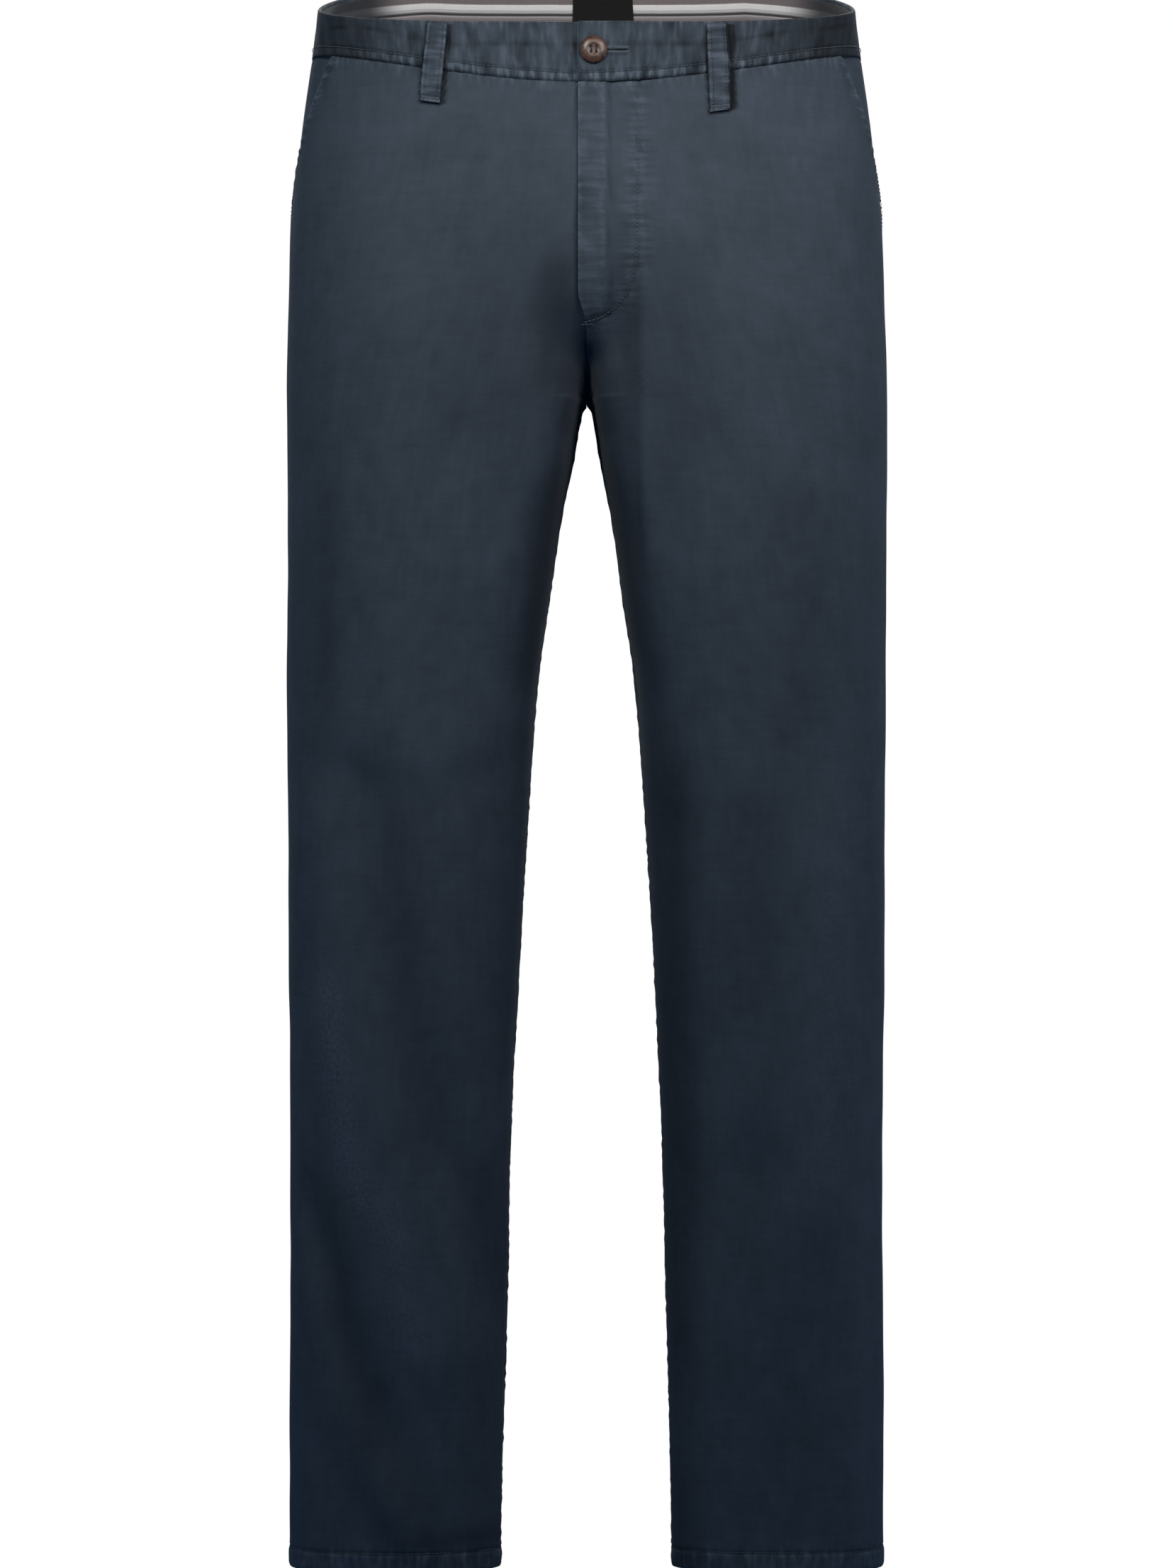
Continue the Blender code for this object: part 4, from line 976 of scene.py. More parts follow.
def lining_material(name):
    """Plain woven lining with stripes along the band."""
    made, tree = new_tree(name)
    u, v = tree.cloth_uv()
    stops, top = [], 0.0
    for stripe in LINING_STRIPES:
        stops.append((top / STRIPES_DEEP, stripe.colour))
        top = stripe.foot
    wobble = tree.noise(u * 60.0, v * 60.0) - 0.5
    depth = v * (-1.0 / METRES / STRIPES_DEEP) + wobble * 0.006
    stripes = tree.node("ShaderNodeValToRGB", {"stops": stops}, {0: depth})
    stripes.socket.node.color_ramp.interpolation = "CONSTANT"
    weave = tree.ribs(u, WEAVE_PITCH) * tree.ribs(v, WEAVE_PITCH)
    yarn = tree.noise(u * 1800.0, v * 90.0) + tree.noise(u * 90.0, v * 1800.0)
    tone = tree.node("ShaderNodeClamp", inputs={0: yarn * 0.35 + weave * 0.1 + 0.15})
    base = tree.mix(tone, opaque((0.62, 0.62, 0.62)), opaque((1.0, 1.0, 1.0)))
    base = tree.mix(1.0, stripes, base, "MULTIPLY")
    # Painted shade towards the band's ends
    base = tree.mix(tree.attribute("shade"), base, opaque((0.012, 0.014, 0.022)))
    tree.surface({"Base Color": base, "Roughness": 0.75, "Normal": tree.bump(weave + yarn),
                  "Sheen Weight": 0.1})
    return made


def label_material(name):
    """Black woven patch with a fine satin rib."""
    made, tree = new_tree(name)
    u, v = tree.cloth_uv()
    yarn = tree.noise(u * 120.0, v * 2000.0)
    base = tree.mix(yarn, opaque((0.003, 0.003, 0.003)), opaque((0.010, 0.010, 0.011)))
    bump = tree.bump(tree.ribs(v, 0.0005) + yarn)
    tree.surface({"Base Color": base, "Roughness": 0.6, "Normal": bump, "Sheen Weight": 0.03,
                  "Specular IOR Level": 0.2})
    return made


def horn_material(name, colour):
    """Mottled, half-polished, horn-like plastic."""
    made, tree = new_tree(name)
    cloud = tree.grain(260.0, 4.0, 1.6)
    streak = tree.grain(90.0, 2.0)
    base = tree.node("ShaderNodeValToRGB", {"stops": (
        (0.36, tuple(value * 0.45 for value in colour)),
        (0.47, colour),
        (0.57, tuple(value * 1.7 for value in colour)),
        (0.70, tuple(value * 0.8 for value in colour)),
    )}, {0: cloud * 0.65 + streak * 0.35})
    rough = 0.30 + cloud * 0.2
    tree.surface({"Base Color": base, "Roughness": rough, "Normal": tree.bump(cloud, 0.6, 0.0004),
                  "Coat Weight": 0.2, "Coat Roughness": 0.22})
    return made


def brass_material(name, colour):
    """Slightly hazy brass."""
    made, tree = new_tree(name)
    haze = tree.grain(700.0, 3.0)
    base = tree.mix(haze, scaled(colour, 0.7), scaled(colour, 1.1))
    tree.surface({"Base Color": base, "Metallic": 1.0, "Roughness": 0.28 + haze * 0.2})
    return made


def floor_material(name, colour):
    """Pale floor that fades to the white of the background away from the garment."""
    made, tree = new_tree(name)
    at = tree.node("ShaderNodeTexCoord", output=3)
    distance = tree.node("ShaderNodeVectorMath", {"operation": "LENGTH"}, {0: at}, 1)
    far = tree.node("ShaderNodeMapRange", {"interpolation_type": "SMOOTHSTEP"},
                    {"Value": distance, "From Min": FLOOR_FADE[0], "From Max": FLOOR_FADE[1]})
    near = tree.node("ShaderNodeBsdfDiffuse", inputs={"Color": opaque(colour)})
    glow = tree.node("ShaderNodeEmission", inputs={"Color": opaque((1.0, 1.0, 1.0)), "Strength": 1.0})
    share = far * (1.0 - FLOOR_GLOW) + FLOOR_GLOW
    both = tree.node("ShaderNodeMixShader", inputs={0: share, 1: near, 2: glow})
    tree.node("ShaderNodeOutputMaterial", inputs={"Surface": both})
    return made


# ---------------------------------------------------------------- settings

def colour(name, description, value):
    """A colour that the panel shows."""
    return FloatVectorProperty(name=name, description=description, subtype="COLOR", size=3,
                               min=0.0, max=1.0, default=value)


class ChinoColours(PropertyGroup):
    """Colours of the trousers."""
    twill: colour("Twill", "Colour of the cloth", (0.047, 0.060, 0.080))
    thread: colour("Thread", "Colour of the topstitching", (0.060, 0.074, 0.096))
    horn: colour("Button", "Colour of the button", (0.052, 0.021, 0.013))
    brass: colour("Zip metal", "Colour of the zip's metal", (0.55, 0.42, 0.20))
    floor: colour("Floor", "Colour of the floor", (0.80, 0.80, 0.80))


class ChinoSizes(PropertyGroup):
    """Sizes of the cloth and its sewing."""
    cloth: FloatProperty(name="Cloth", description="Thickness of the cloth in millimetres",
                         default=1.2, min=0.8, max=1.5)
    puckers: FloatProperty(name="Puckers", description="Strength of the puckers at the seams",
                           subtype="FACTOR", default=1.0, min=0.0, max=2.0)
    unevenness: FloatProperty(name="Unevenness", description="Height of the soft hollows in the cloth, "
                              "in millimetres", default=0.7, min=0.0, max=2.0)
    stitch: FloatProperty(name="Stitch", description="Length of one stitch in millimetres",
                          default=2.9, min=1.5, max=5.0)
    columns: IntProperty(name="Columns", description="Columns of points across a front panel",
                         default=88, min=20, max=110)


def sizes():
    return bpy.context.scene.chino_sizes


def colours():
    return bpy.context.scene.chino_colours


def twill():
    """The shared cloth material."""
    return bpy.data.materials.get("washed_twill") or twill_material("washed_twill", colours().twill)


def thread():
    """The shared material of the topstitching."""
    name = "topstitch_thread"
    return bpy.data.materials.get(name) or thread_material(name, colours().thread)


# ---------------------------------------------------------------- relief of the panels

def fly_lift(x, z):
    """How far the left front stands out over the zip: a raised strip, then a crease."""
    across = 1.0 - ease((x - FLY_STRIP) / FLY_STRIP_FALL)
    down = ease((z - FLY_END_Z + 2.5 * FLY_END_FALL) / FLY_END_FALL)
    strip = (FLY_RISE - 0.05 * np.clip(x + LAP, 0.0, 14.0)) * across
    crease = -0.45 * bell(x - FLY_STRIP - FLY_STRIP_FALL - 0.5, 1.6)
    return (strip + crease) * down


def seam_groove(distance, depth=0.75, width=1.3):
    """A panel's edge rolls down into a seam."""
    return -depth * np.exp(-distance / width)


def turnings(distance, width=10.0, height=0.28):
    """The seam's turnings show through as a low flat ridge."""
    return height * (1.0 - ease((distance - width) / 2.5))


def waist_puckers(cloth, below, seed):
    """Small upright gathers just below the waist seam."""
    cloth.pucker_across += 0.5 * bell(below, 7.0)
    strength = 0.35 + 0.65 * patchy(cloth.start, 40.0, seed + 1)
    return 0.30 * sizes().puckers * ripple(cloth.start, 7.5, seed) * bell(below - 2.0, 6.0) * strength


def flat_of(cloth):
    """1 over most of the garment, falling towards the sides, whose seams lie flat."""
    return 1.0 - 0.85 * ease((np.abs(cloth.x()) - 168.0) / 16.0)


def hem_relief(cloth, seed):
    """The stitch groove and the puckered band of a turned-up hem."""
    above = cloth.z - HEM_Z
    groove = -0.55 * bell(above - HEM_TURN, 1.2)
    band = ease((HEM_TURN + 1.0 - above) / 2.0)
    waves = 0.34 * sizes().puckers * ripple(cloth.start, 8.0, seed) * bell(above - 8.0, 8.5)
    roll = -0.7 * bell(above, 1.0)
    cloth.wear += 0.24 * bell(above - 1.0, 1.8) + 0.16 * bell(above - HEM_TURN + 2.5, 2.0) + 0.08 * band
    # Painted shade in the stitch groove
    cloth.shade += 0.45 * bell(above - HEM_TURN, 0.9)
    cloth.pucker_across += 0.45 * bell(above - 8.0, 8.0)
    return groove + 0.35 * band + waves + roll


def past_crotch(cloth):
    """How far the cloth moves to run smoothly past the crotch, where its form turns sharply."""
    steps = np.linspace(-CROTCH_REACH, CROTCH_REACH, CROTCH_STEPS)
    near = np.abs(cloth.z - CROTCH_Z) < 3.0 * CROTCH_REACH
    move = np.zeros(cloth.plain.shape)
    u, z = cloth.u[near], cloth.z[near]
    move[near] = sum(section(u, z + step) for step in steps) / CROTCH_STEPS - cloth.plain[near]
    inner = np.minimum(np.abs(cloth.u), np.abs(1.0 - cloth.u)) * 4.0
    out = (move * cloth.normals * np.array([cloth.side, 1.0, 1.0])).sum(axis=-1)
    return out * bell(cloth.z - CROTCH_Z, 1.5 * CROTCH_REACH) * ease((inner - 0.05) / 0.22)


def fold_shade(cloth, folds):
    """Paints a little shade into deep folds and a little light onto ridges, and lays the painted streaks
    of light and shade.
    """
    cloth.shade += 0.05 * ease(-folds / 4.0)
    cloth.wear += 0.05 * ease(folds / 4.0)
    for tone in laid(PAINTED_STREAKS, cloth.points, cloth.normals, STREAK_TAPER, STREAK_TURN):
        cloth.wear += np.maximum(tone, 0.0)
        cloth.shade += np.maximum(-tone, 0.0)


def shared_relief(cloth, below, large, small):
    """The relief that both panels share: folds, large and small hollows, and the run past the crotch.
    The hollows are given by their length, seed and height over width."""
    folds = fold_height(cloth.points, cloth.normals)
    fold_shade(cloth, folds)
    height = folds + sizes().unevenness * undulate(cloth.points, *large) * ease((below - 4.0) / 50.0)
    height += 0.25 * undulate(cloth.points, *small) * ease((below - 2.0) / 20.0)
    height += past_crotch(cloth)
    return height


def loop_middle(loop, share):
    """The middle line of a loop at shares of its length from the top, and the cloth per share."""
    middle = share_at_x(abs(loop.x), WAIST_Z, loop.face)
    here, step = section(np.array([middle, middle + SHORT_STEP]), np.array([WAIST_Z, WAIST_Z]))
    per_share = float(np.linalg.norm(step - here)) / SHORT_STEP
    inward = -1.0 if loop.face == "front" else 1.0
    return middle + inward * loop.lean * (0.35 + 0.65 * share) / per_share, per_share


def loop_shadows(cloth):
    """Dark lines beside and below the belt loops, wider on the side away from the key light."""
    x, z = cloth.points[..., 0], cloth.z
    for loop in LOOPS:
        middle = loop_middle(loop, np.array([1.0, 0.0]))[0]
        ends = np.array([waist_seam(middle)[0] - loop.drop, top_edge(middle)[1] - LOOP_TOP_INSET])
        line = section(middle, ends)[:, 0] * (-1.0 if loop.x < 0 else 1.0)
        away = x - np.interp(z, ends, line)
        foot = waist_seam(cloth.u) - loop.drop
        span = ease((z - foot + 1.0) / 2.0) * ease((top_edge(cloth.u) - LOOP_TOP_INSET - z) / 2.0)
        twist = abs(loop.twist)
        far = bell(away - LOOP_WIDTH / 2 - 0.55 * loop.bow, (0.6 + 0.5 * twist) * loop.bow)
        far = (1.2 + 0.8 * twist) * far
        beside = far + 0.7 * bell(away + LOOP_WIDTH / 2 + 0.6, 0.9)
        under = 0.9 * bell(z - foot + 0.8, 1.1) * ease((LOOP_WIDTH / 2 + 1.5 - np.abs(away)) / 1.5)
        cloth.shade += (beside * span + under) * (facing(cloth.normals, loop.face) > 0.3)


def pocket_mouth(cloth):
    """The stitched, worn edge of the pocket's mouth, or the side seam below it."""
    away, z = cloth.end, cloth.z
    in_pocket = ease((z - MOUTH_END_Z) / 6.0)
    edge = np.exp(-away / 0.8) * -0.5 + 0.35 * ease((MOUTH_STITCH + 1.5 - away) / 1.5)
    tugs = ripple(z, 7.0, 53 + cloth.side) * bell(away - MOUTH_STITCH + 1.0, 6.0)
    cloth.wear += in_pocket * (0.7 * bell(away, 1.6) + 0.35 * bell(away - MOUTH_STITCH + 2.5, 1.8))
    cloth.pucker_up += in_pocket * 0.7 * bell(away - MOUTH_STITCH, 6.0)
    mouth = in_pocket * (edge + 0.45 * sizes().puckers * tugs - 0.4 * bell(away - MOUTH_STITCH, 1.0))
    return mouth + (seam_groove(away, 0.6, 1.2) + turnings(away)) * (1.0 - in_pocket)


def fly_relief(cloth):
    """The left front's raised strip and low padding, curved stitch line, puckers and worn edge, with
    painted shade along the strip's crease, the stitch line and the fly's curved foot.
    """
    x, z = cloth.x(), cloth.z
    puckers = sizes().puckers
    across, beyond = line_distance(np.stack([x, z], axis=-1), J_STITCH)
    fade = bell(beyond, 4.0)
    above = ease((z - FLY_FOOT_Z - 1.0) / 10.0)
    inside = ease((34.0 - x) / 6.0) * ease((z - FLY_FOOT_Z) / 8.0) * ease((x - 16.0) / 3.0)
    pulls = ripple(z + 0.25 * x, 7.5, 61) * (0.4 + 0.6 * patchy(z, 36.0, 62))
    height = fly_lift(x, z) - 0.50 * bell(across, 1.2) * fade + 0.30 * inside
    height += 0.28 * puckers * pulls * bell(across, 8.5) * fade * ease((x - 13.0) / 4.0)
    lower = ease((z - FLY_FOOT_Z - 6.0) / 10.0)
    height += 0.18 * puckers * ripple(z, 9.0, 63) * ease((FLY_STRIP - x) / 3.0) * lower
    edge = ease((z - FLY_END_Z + FLY_END_FALL) / FLY_END_FALL) * np.exp(-(x + LAP) / 0.9)
    edge = np.clip(edge, 0.0, 1.0)
    strip = ease((FLY_STRIP + 1.5 - x) / 2.0) * above
    cloth.wear += 0.50 * edge + 0.20 * bell(across - 2.6, 2.0) * fade
    cloth.wear += 0.10 * strip + 0.25 * bell(x - FLY_STRIP + 0.5, 2.0) * above
    # Painted shade along the strip's crease and the stitch line, and a painted shadow under the fly's
    # curved foot
    cloth.shade += 0.38 * bell(x - FLY_STRIP - FLY_STRIP_FALL + 0.5, 1.3) * lower
    cloth.shade += 0.14 * bell(across, 0.8) * fade
    cloth.shade += 0.70 * bell(z - FLY_FOOT_Z + 0.5 - 0.1 * x, 2.0) * ease((18.0 - x) / 4.0)
    cloth.pucker_up += 0.30 * bell(across - 2.0, 8.0) * fade + 0.22 * strip
    return height - 0.7 * edge


def front_relief(cloth):
    """Relief of a front panel, its worn places, and its painted light and shade."""
    side, x, z = cloth.side, cloth.x(), cloth.z
    below = waist_seam(cloth.u) - z
    height = shared_relief(cloth, below, (62.0, 11 + side, 2.4), (21.0, 31 + side, 1.5))
    height += seam_groove(below, 0.6, 1.6) * flat_of(cloth) + waist_puckers(cloth, below, 41 + side)
    height += hem_relief(cloth, 47 + side)
    loop_shadows(cloth)
    height += pocket_mouth(cloth)
    leg = ease((CROTCH_Z - z) / 10.0)
    height += leg * (seam_groove(cloth.start) + turnings(cloth.start))
    height += leg * 0.30 * sizes().puckers * ripple(z, 9.0, 59 + side) * bell(cloth.start - 3.0, 5.0)
    cloth.pucker_up += leg * 0.5 * bell(cloth.start - 3.0, 4.5)
    cloth.wear += leg * 0.12 * bell(cloth.start - 2.5, 2.0)
    # Painted shade along the inner leg below the crotch
    dusk = ease((CROTCH_Z + 30.0 - z) / 80.0)
    cloth.shade += dusk * (0.24 * bell(cloth.start, 17.0) + 0.34 * bell(cloth.start, 7.0))
    if side > 0:
        height += fly_relief(cloth)
    else:
        # A painted shadow beside the fly's lap
        beside_fly = bell(x - LAP - 0.8, 1.1)
        cloth.shade += 0.60 * beside_fly * ease((z - FLY_END_Z + FLY_END_FALL) / 6.0)
    seam = ease((FLY_END_Z - FLY_END_FALL - z) / 6.0) * (1.0 - leg)
    return height + seam * seam_groove(cloth.start, 0.5, 1.2)


def back_relief(cloth):
    """Relief of a back panel."""
    side, z = cloth.side, cloth.z
    puckers = sizes().puckers
    below = waist_seam(cloth.u) - z
    height = shared_relief(cloth, below, (66.0, 71 + side, 2.2), (22.0, 73 + side, 1.5))
    height += seam_groove(below, 0.6, 1.6) * flat_of(cloth) + waist_puckers(cloth, below, 75 + side)
    height += hem_relief(cloth, 77 + side)
    for away in (cloth.start, cloth.end):
        height += seam_groove(away, 0.6, 1.2) + turnings(away)
    leg = ease((CROTCH_Z - z) / 10.0)
    height += leg * 0.30 * puckers * ripple(z, 9.0, 79 + side) * bell(cloth.end - 3.0, 5.0)
    rise = (1.0 - leg) * ease((z - CROTCH_Z) / 20.0)
    height += rise * 0.35 * puckers * ripple(z, 8.0, 81 + side) * bell(cloth.end - 5.0, 5.0)
    cloth.pucker_up += 0.5 * bell(cloth.end - 4.0, 5.0)
    cloth.wear += 0.25 * bell(cloth.end - 3.0, 2.0)
    loop_shadows(cloth)
    dart = ease((DART_LENGTH - below) / 12.0) * np.exp(-np.abs(cloth.x() - WELT_X) / 1.2)
    height += -0.7 * dart + 0.35 * ease((DART_LENGTH - below) / 30.0) * bell(cloth.x() - WELT_X - 5.0, 4.5)
    # Painted shade in the dart
    cloth.shade += 0.4 * dart
    return height


# ---------------------------------------------------------------- relief of the waistband

def lap_shift(side, x, u):
    """How far an end of the band moves to lie over, or under, the other end."""
    if side > 0:
        return LAP_SHIFT * ease((58.0 - x) / 30.0) * (u < 0.25)
    return -LAP_SHIFT * ease((38.0 - x) / 28.0) * (u < 0.25)


def band_quiet(cloth):
    """Where the front of the band is calmer: between the loops on the left, and towards the sides."""
    wide, front = cloth.points[..., 0], cloth.u < 0.5
    calm = 1.0 - 0.65 * ease((wide - 14.0) / 10.0) * ease((96.0 - wide) / 10.0) * front
    front_end = ease((np.abs(wide) - 112.0) / 60.0) * ease((0.53 - cloth.u) / 0.10)
    return calm, front_end, 1.0 - 0.80 * front_end


def band_relief(cloth):
    """Rolled edges, the stitched ridge along the foot, a soft crease along the middle and upright
    wrinkles, uneven all the way round. Crests are partly worn and partly painted pale as if lit, and
    painted shade darkens the hollows, the seam lines and the band's ends."""
    size = sizes().puckers
    s, seed, front = cloth.start, 90 + cloth.side, cloth.u < 0.5
    wide = cloth.points[..., 0]
    foot = cloth.z - waist_seam(cloth.u)
    head = top_edge(cloth.u) - cloth.z
    calm, front_end, quiet = band_quiet(cloth)
    tight = 0.35 + 0.65 * patchy(s, 45.0, seed)
    fine = ripple(s + 0.15 * foot, 3.4, seed + 12, 4)
    gathers = (0.6 * ripple(s, 7.0, seed + 10) + 0.5 * fine) * bell(foot - EDGE_STITCH + 1.0, 5.0) * tight
    gathers *= calm * quiet
    wrinkles = ripple(s + 0.12 * foot, 12.0, seed + 20, 4) * bell(foot - 17.0, 14.0)
    wrinkles *= 0.25 + 0.75 * patchy(s, 60.0, seed + 30)
    wrinkles *= calm * quiet
    slant = ripple(s + 0.9 * foot, 24.0, seed + 40) * bell(foot - 20.0, 17.0)
    counter = ripple(s - 0.7 * foot, 19.0, seed + 45) * bell(foot - 24.0, 13.0)
    top_gathers = ripple(s, 5.5, seed + 70) * bell(head - 3.0, 5.0) * patchy(s, 50.0, seed + 71)
    sway = 1.8 * ripple(s, 70.0, seed + 50)
    middle = ease((96.0 - np.abs(wide)) / 8.0) * front
    around = (0.15 + 0.85 * patchy(s, 50.0, seed + 60)) * (1.0 - middle)
    crease = -0.4 * bell(foot - 20.0 - sway, 1.7) * around
    middle = middle * (0.5 + 0.5 * patchy(s, 40.0, seed + 61))
    crease += -0.5 * bell(cloth.z + 20.5 - 0.3 * sway, 1.8) * middle
    relief = 0.45 * bell(foot - EDGE_STITCH * 0.45, 3.0) - 0.80 * bell(foot - EDGE_STITCH, 1.2) + crease
    relief += 0.25 * bell(foot - 13.0, 5.5) + 0.25 * bell(foot - 29.0, 6.0)
    across = quiet * (0.35 * slant + 0.30 * counter + 0.35 * top_gathers)
    relief += size * (0.60 * gathers + 0.46 * wrinkles + across)
    # The wrinkles' crests get painted light and their hollows painted shade; along the stitched ridge the
    # fine gathers' crests are worn and painted paler
    tone = 0.42 * wrinkles + 0.3 * gathers + quiet * 0.45 * (slant + counter + top_gathers)
    worn_and_lit = np.clip(0.4 + 0.5 * fine * calm * quiet, 0.0, 1.2)
    cloth.wear += 0.42 * bell(foot - EDGE_STITCH * 0.42, 2.4) * worn_and_lit
    cloth.wear += 0.40 * bell(head, 1.0) + 0.16 * np.clip(tone, 0.0, 1.5)
    # Painted shade along the stitch line, the seam and the crease, in the wrinkles' hollows, over the
    # whole band, its ends and its right half, with slow uneven ripples
    cloth.shade += 0.35 * bell(foot - EDGE_STITCH, 0.8) + 0.55 * bell(foot, 0.7) - 0.55 * crease
    cloth.shade += 0.16 + 0.24 * np.clip(-tone, 0.0, 1.5) + 0.52 * front_end
    cloth.shade += 0.18 * ease((wide - 24.0) / 40.0) * front
    cloth.shade += 0.10 * quiet * ripple(s + 0.3 * foot, 31.0, seed + 80)
    cloth.shade += 0.08 * ripple(s - 0.5 * foot, 17.0, seed + 81)
    gathered = 0.30 + 0.60 * bell(foot - EDGE_STITCH * 0.5, 3.6) + 0.20 * bell(head, 3.0)
    cloth.pucker_across += quiet * gathered
    if cloth.side > 0:
        cloth.wear += 0.30 * bell(cloth.x() + 1.0, 4.5) * bell(foot - 8.0, 6.0) * front
    else:
        # A painted shadow beside the end of the band that laps over
        cloth.shade += 0.60 * bell(cloth.x() - BAND_LAP - 0.9, 1.2) * front
    loop_shadows(cloth)
    roll_foot = -0.8 * bell(foot, 1.0)
    flat = flat_of(cloth)
    return relief * flat, roll_foot * flat, head


def buttonhole_relief(cloth):
    """A slit with raised stitched lips."""
    x, z = cloth.x(), cloth.z
    along = ease((x - BUTTONHOLE_START) / 1.5) * ease((BUTTONHOLE_END - x) / 1.5)
    away = z - BUTTON_Z
    lips = 0.35 * (bell(away - 1.6, 1.0) + bell(away + 1.6, 1.0))
    # Painted shade in the slit and under its lower lip
    cloth.shade += along * (1.2 * bell(away, 0.7) + 0.35 * bell(away + 2.6, 1.4))
    return along * (lips - 0.7 * bell(away, 0.6))


# ---------------------------------------------------------------- operators

HANDS = ((1, "left"), (-1, "right"))


def panel(node, cloth, height, to_centre, crease):
    """Makes a front or back panel, thicker where its hem is turned up."""
    thick = sizes().cloth + HEM_DOUBLED * ease((HEM_Z + HEM_TURN - cloth.z) / 1.5)
    skins = shell(cloth, height, thick)
    for skin in skins:
        keep_to_side(skin, cloth, to_centre)
    sheet(node, cloth, skins, twill(), uv=grain_uv(cloth, crease))


class CHINO_OT_fronts(Operator):
    """Make the two front panels with their fly, pocket mouths and hems"""
    bl_idname = "chino.fronts"
    bl_label = "Fronts"

    def execute(self, context):
        rows = panel_rows(*FRONT_ROWS)
        for side, hand in HANDS:
            edge = fly_edge if side > 0 else None
            cloth = panel_grid(side, rows, 0.0, mouth_u, sizes().columns, edge)
            laps = (side > 0) & (cloth.z > FLY_END_Z - FLY_END_FALL)
            to_centre = np.where(laps, np.inf, cloth.start)
            panel(f"front_{hand}", cloth, front_relief(cloth), to_centre, 0.25)
        return {"FINISHED"}


class CHINO_OT_backs(Operator):
    """Make the two back panels with their darts and hems"""
    bl_idname = "chino.backs"
    bl_label = "Backs"

    def execute(self, context):
        rows = panel_rows(*BACK_ROWS)
        for side, hand in HANDS:
            cloth = panel_grid(side, rows, SIDE_SEAM_U, lambda z: 1.0, sizes().columns)
            panel(f"back_{hand}", cloth, back_relief(cloth), cloth.end, 0.75)
        return {"FINISHED"}


def facing_lift(cloth):
    """How far a pocket facing lies in: behind the mouth's edge, and behind the back past the seam."""
    mouth = mouth_u(cloth.z)
    shown = SIDE_SEAM_U - mouth
    across = (cloth.u - mouth - 0.006) / np.maximum(shown - 0.006, 0.006)
    lift = -FACING_DROP * (1.0 - ease(across * 1.6) * ease(shown / 0.05))
    seam = (SIDE_SEAM_U - cloth.u) * cloth.start[:, -1:] / (cloth.u[:, -1:] - cloth.u[:, :1])
    lift = lift + seam_groove(np.abs(seam), 0.6, 1.2) - FACING_SLIP * ease((0.6 - seam) / 1.5)
    lift = lift + 0.2 * ripple(cloth.z, 15.0, 101 + cloth.side) * bell(seam - 12.0, 10.0)
    return lift + seam_groove(waist_seam(cloth.u) - cloth.z, 0.6, 1.6)


class CHINO_OT_facings(Operator):
    """Make the cloth behind the slanted pocket mouths"""
    bl_idname = "chino.facings"
    bl_label = "Pocket facings"

    def execute(self, context):
        count, columns = FACING_GRID
        steps = np.linspace(WAIST_Z, MOUTH_END_Z - 6.0, count)
        shares = [np.linspace(float(mouth_u(z)) - FACING_UNDER, SIDE_SEAM_U + FACING_PAST, columns)
                  for z in steps]
        heights = [row_heights(row, z, 0.0) for row, z in zip(shares, steps)]
        for side, hand in HANDS:
            cloth = Cloth(side, np.array(shares), np.array(heights))
            skins = shell(cloth, facing_lift(cloth), sizes().cloth)
            sheet(f"pocket_facing_{hand}", cloth, skins, twill())
        return {"FINISHED"}


def rounded(away):
    """How far an edge this far away is rounded off."""
    share = np.clip(1.0 - away / BAND_WALL * 2.0, 0.0, 1.0)
    return BAND_WALL / 2.0 * (1.0 - np.sqrt(1.0 - share ** 2))


class CHINO_OT_waistband(Operator):
    """Make the two halves of the waistband"""
    bl_idname = "chino.waistband"
    bl_label = "Waistband"

    def execute(self, context):
        count, columns = BAND_GRID
        rows = 0.5 - 0.5 * np.cos(np.linspace(0.0, math.pi, count))
        rows = 0.55 * rows + 0.45 * np.linspace(0.0, 1.0, count)
        for side, hand in HANDS:
            cloth = band_grid(side, band_start(side), waist_seam, top_edge, rows, columns)
            relief, roll_foot, head = band_relief(cloth)
            if side > 0:
                relief = relief + buttonhole_relief(cloth)
            round_end, round_top = rounded(cloth.start), rounded(head)
            near_end = ease(cloth.start / 10.0)
            base = BAND_PROUD * flat_of(cloth) + lap_shift(side, cloth.x(), cloth.u)
            outer = cloth.lifted(base + relief * (0.35 + 0.65 * near_end) * ease(head / 3.0)
                                 + roll_foot - round_top - round_end)
            inner = cloth.lifted(base - BAND_WALL + round_top + round_end * 0.98)
            for skin in (outer, inner):
                skin[:, -1, 0] = 0.0
            cloth.wear += 0.6 * bell(cloth.start, 1.2)
            uv = np.stack([cloth.start, cloth.z - waist_seam(cloth.u)], axis=-1)
            sheet(f"waistband_{hand}", cloth, (outer, inner), twill(), uv=uv)
        return {"FINISHED"}


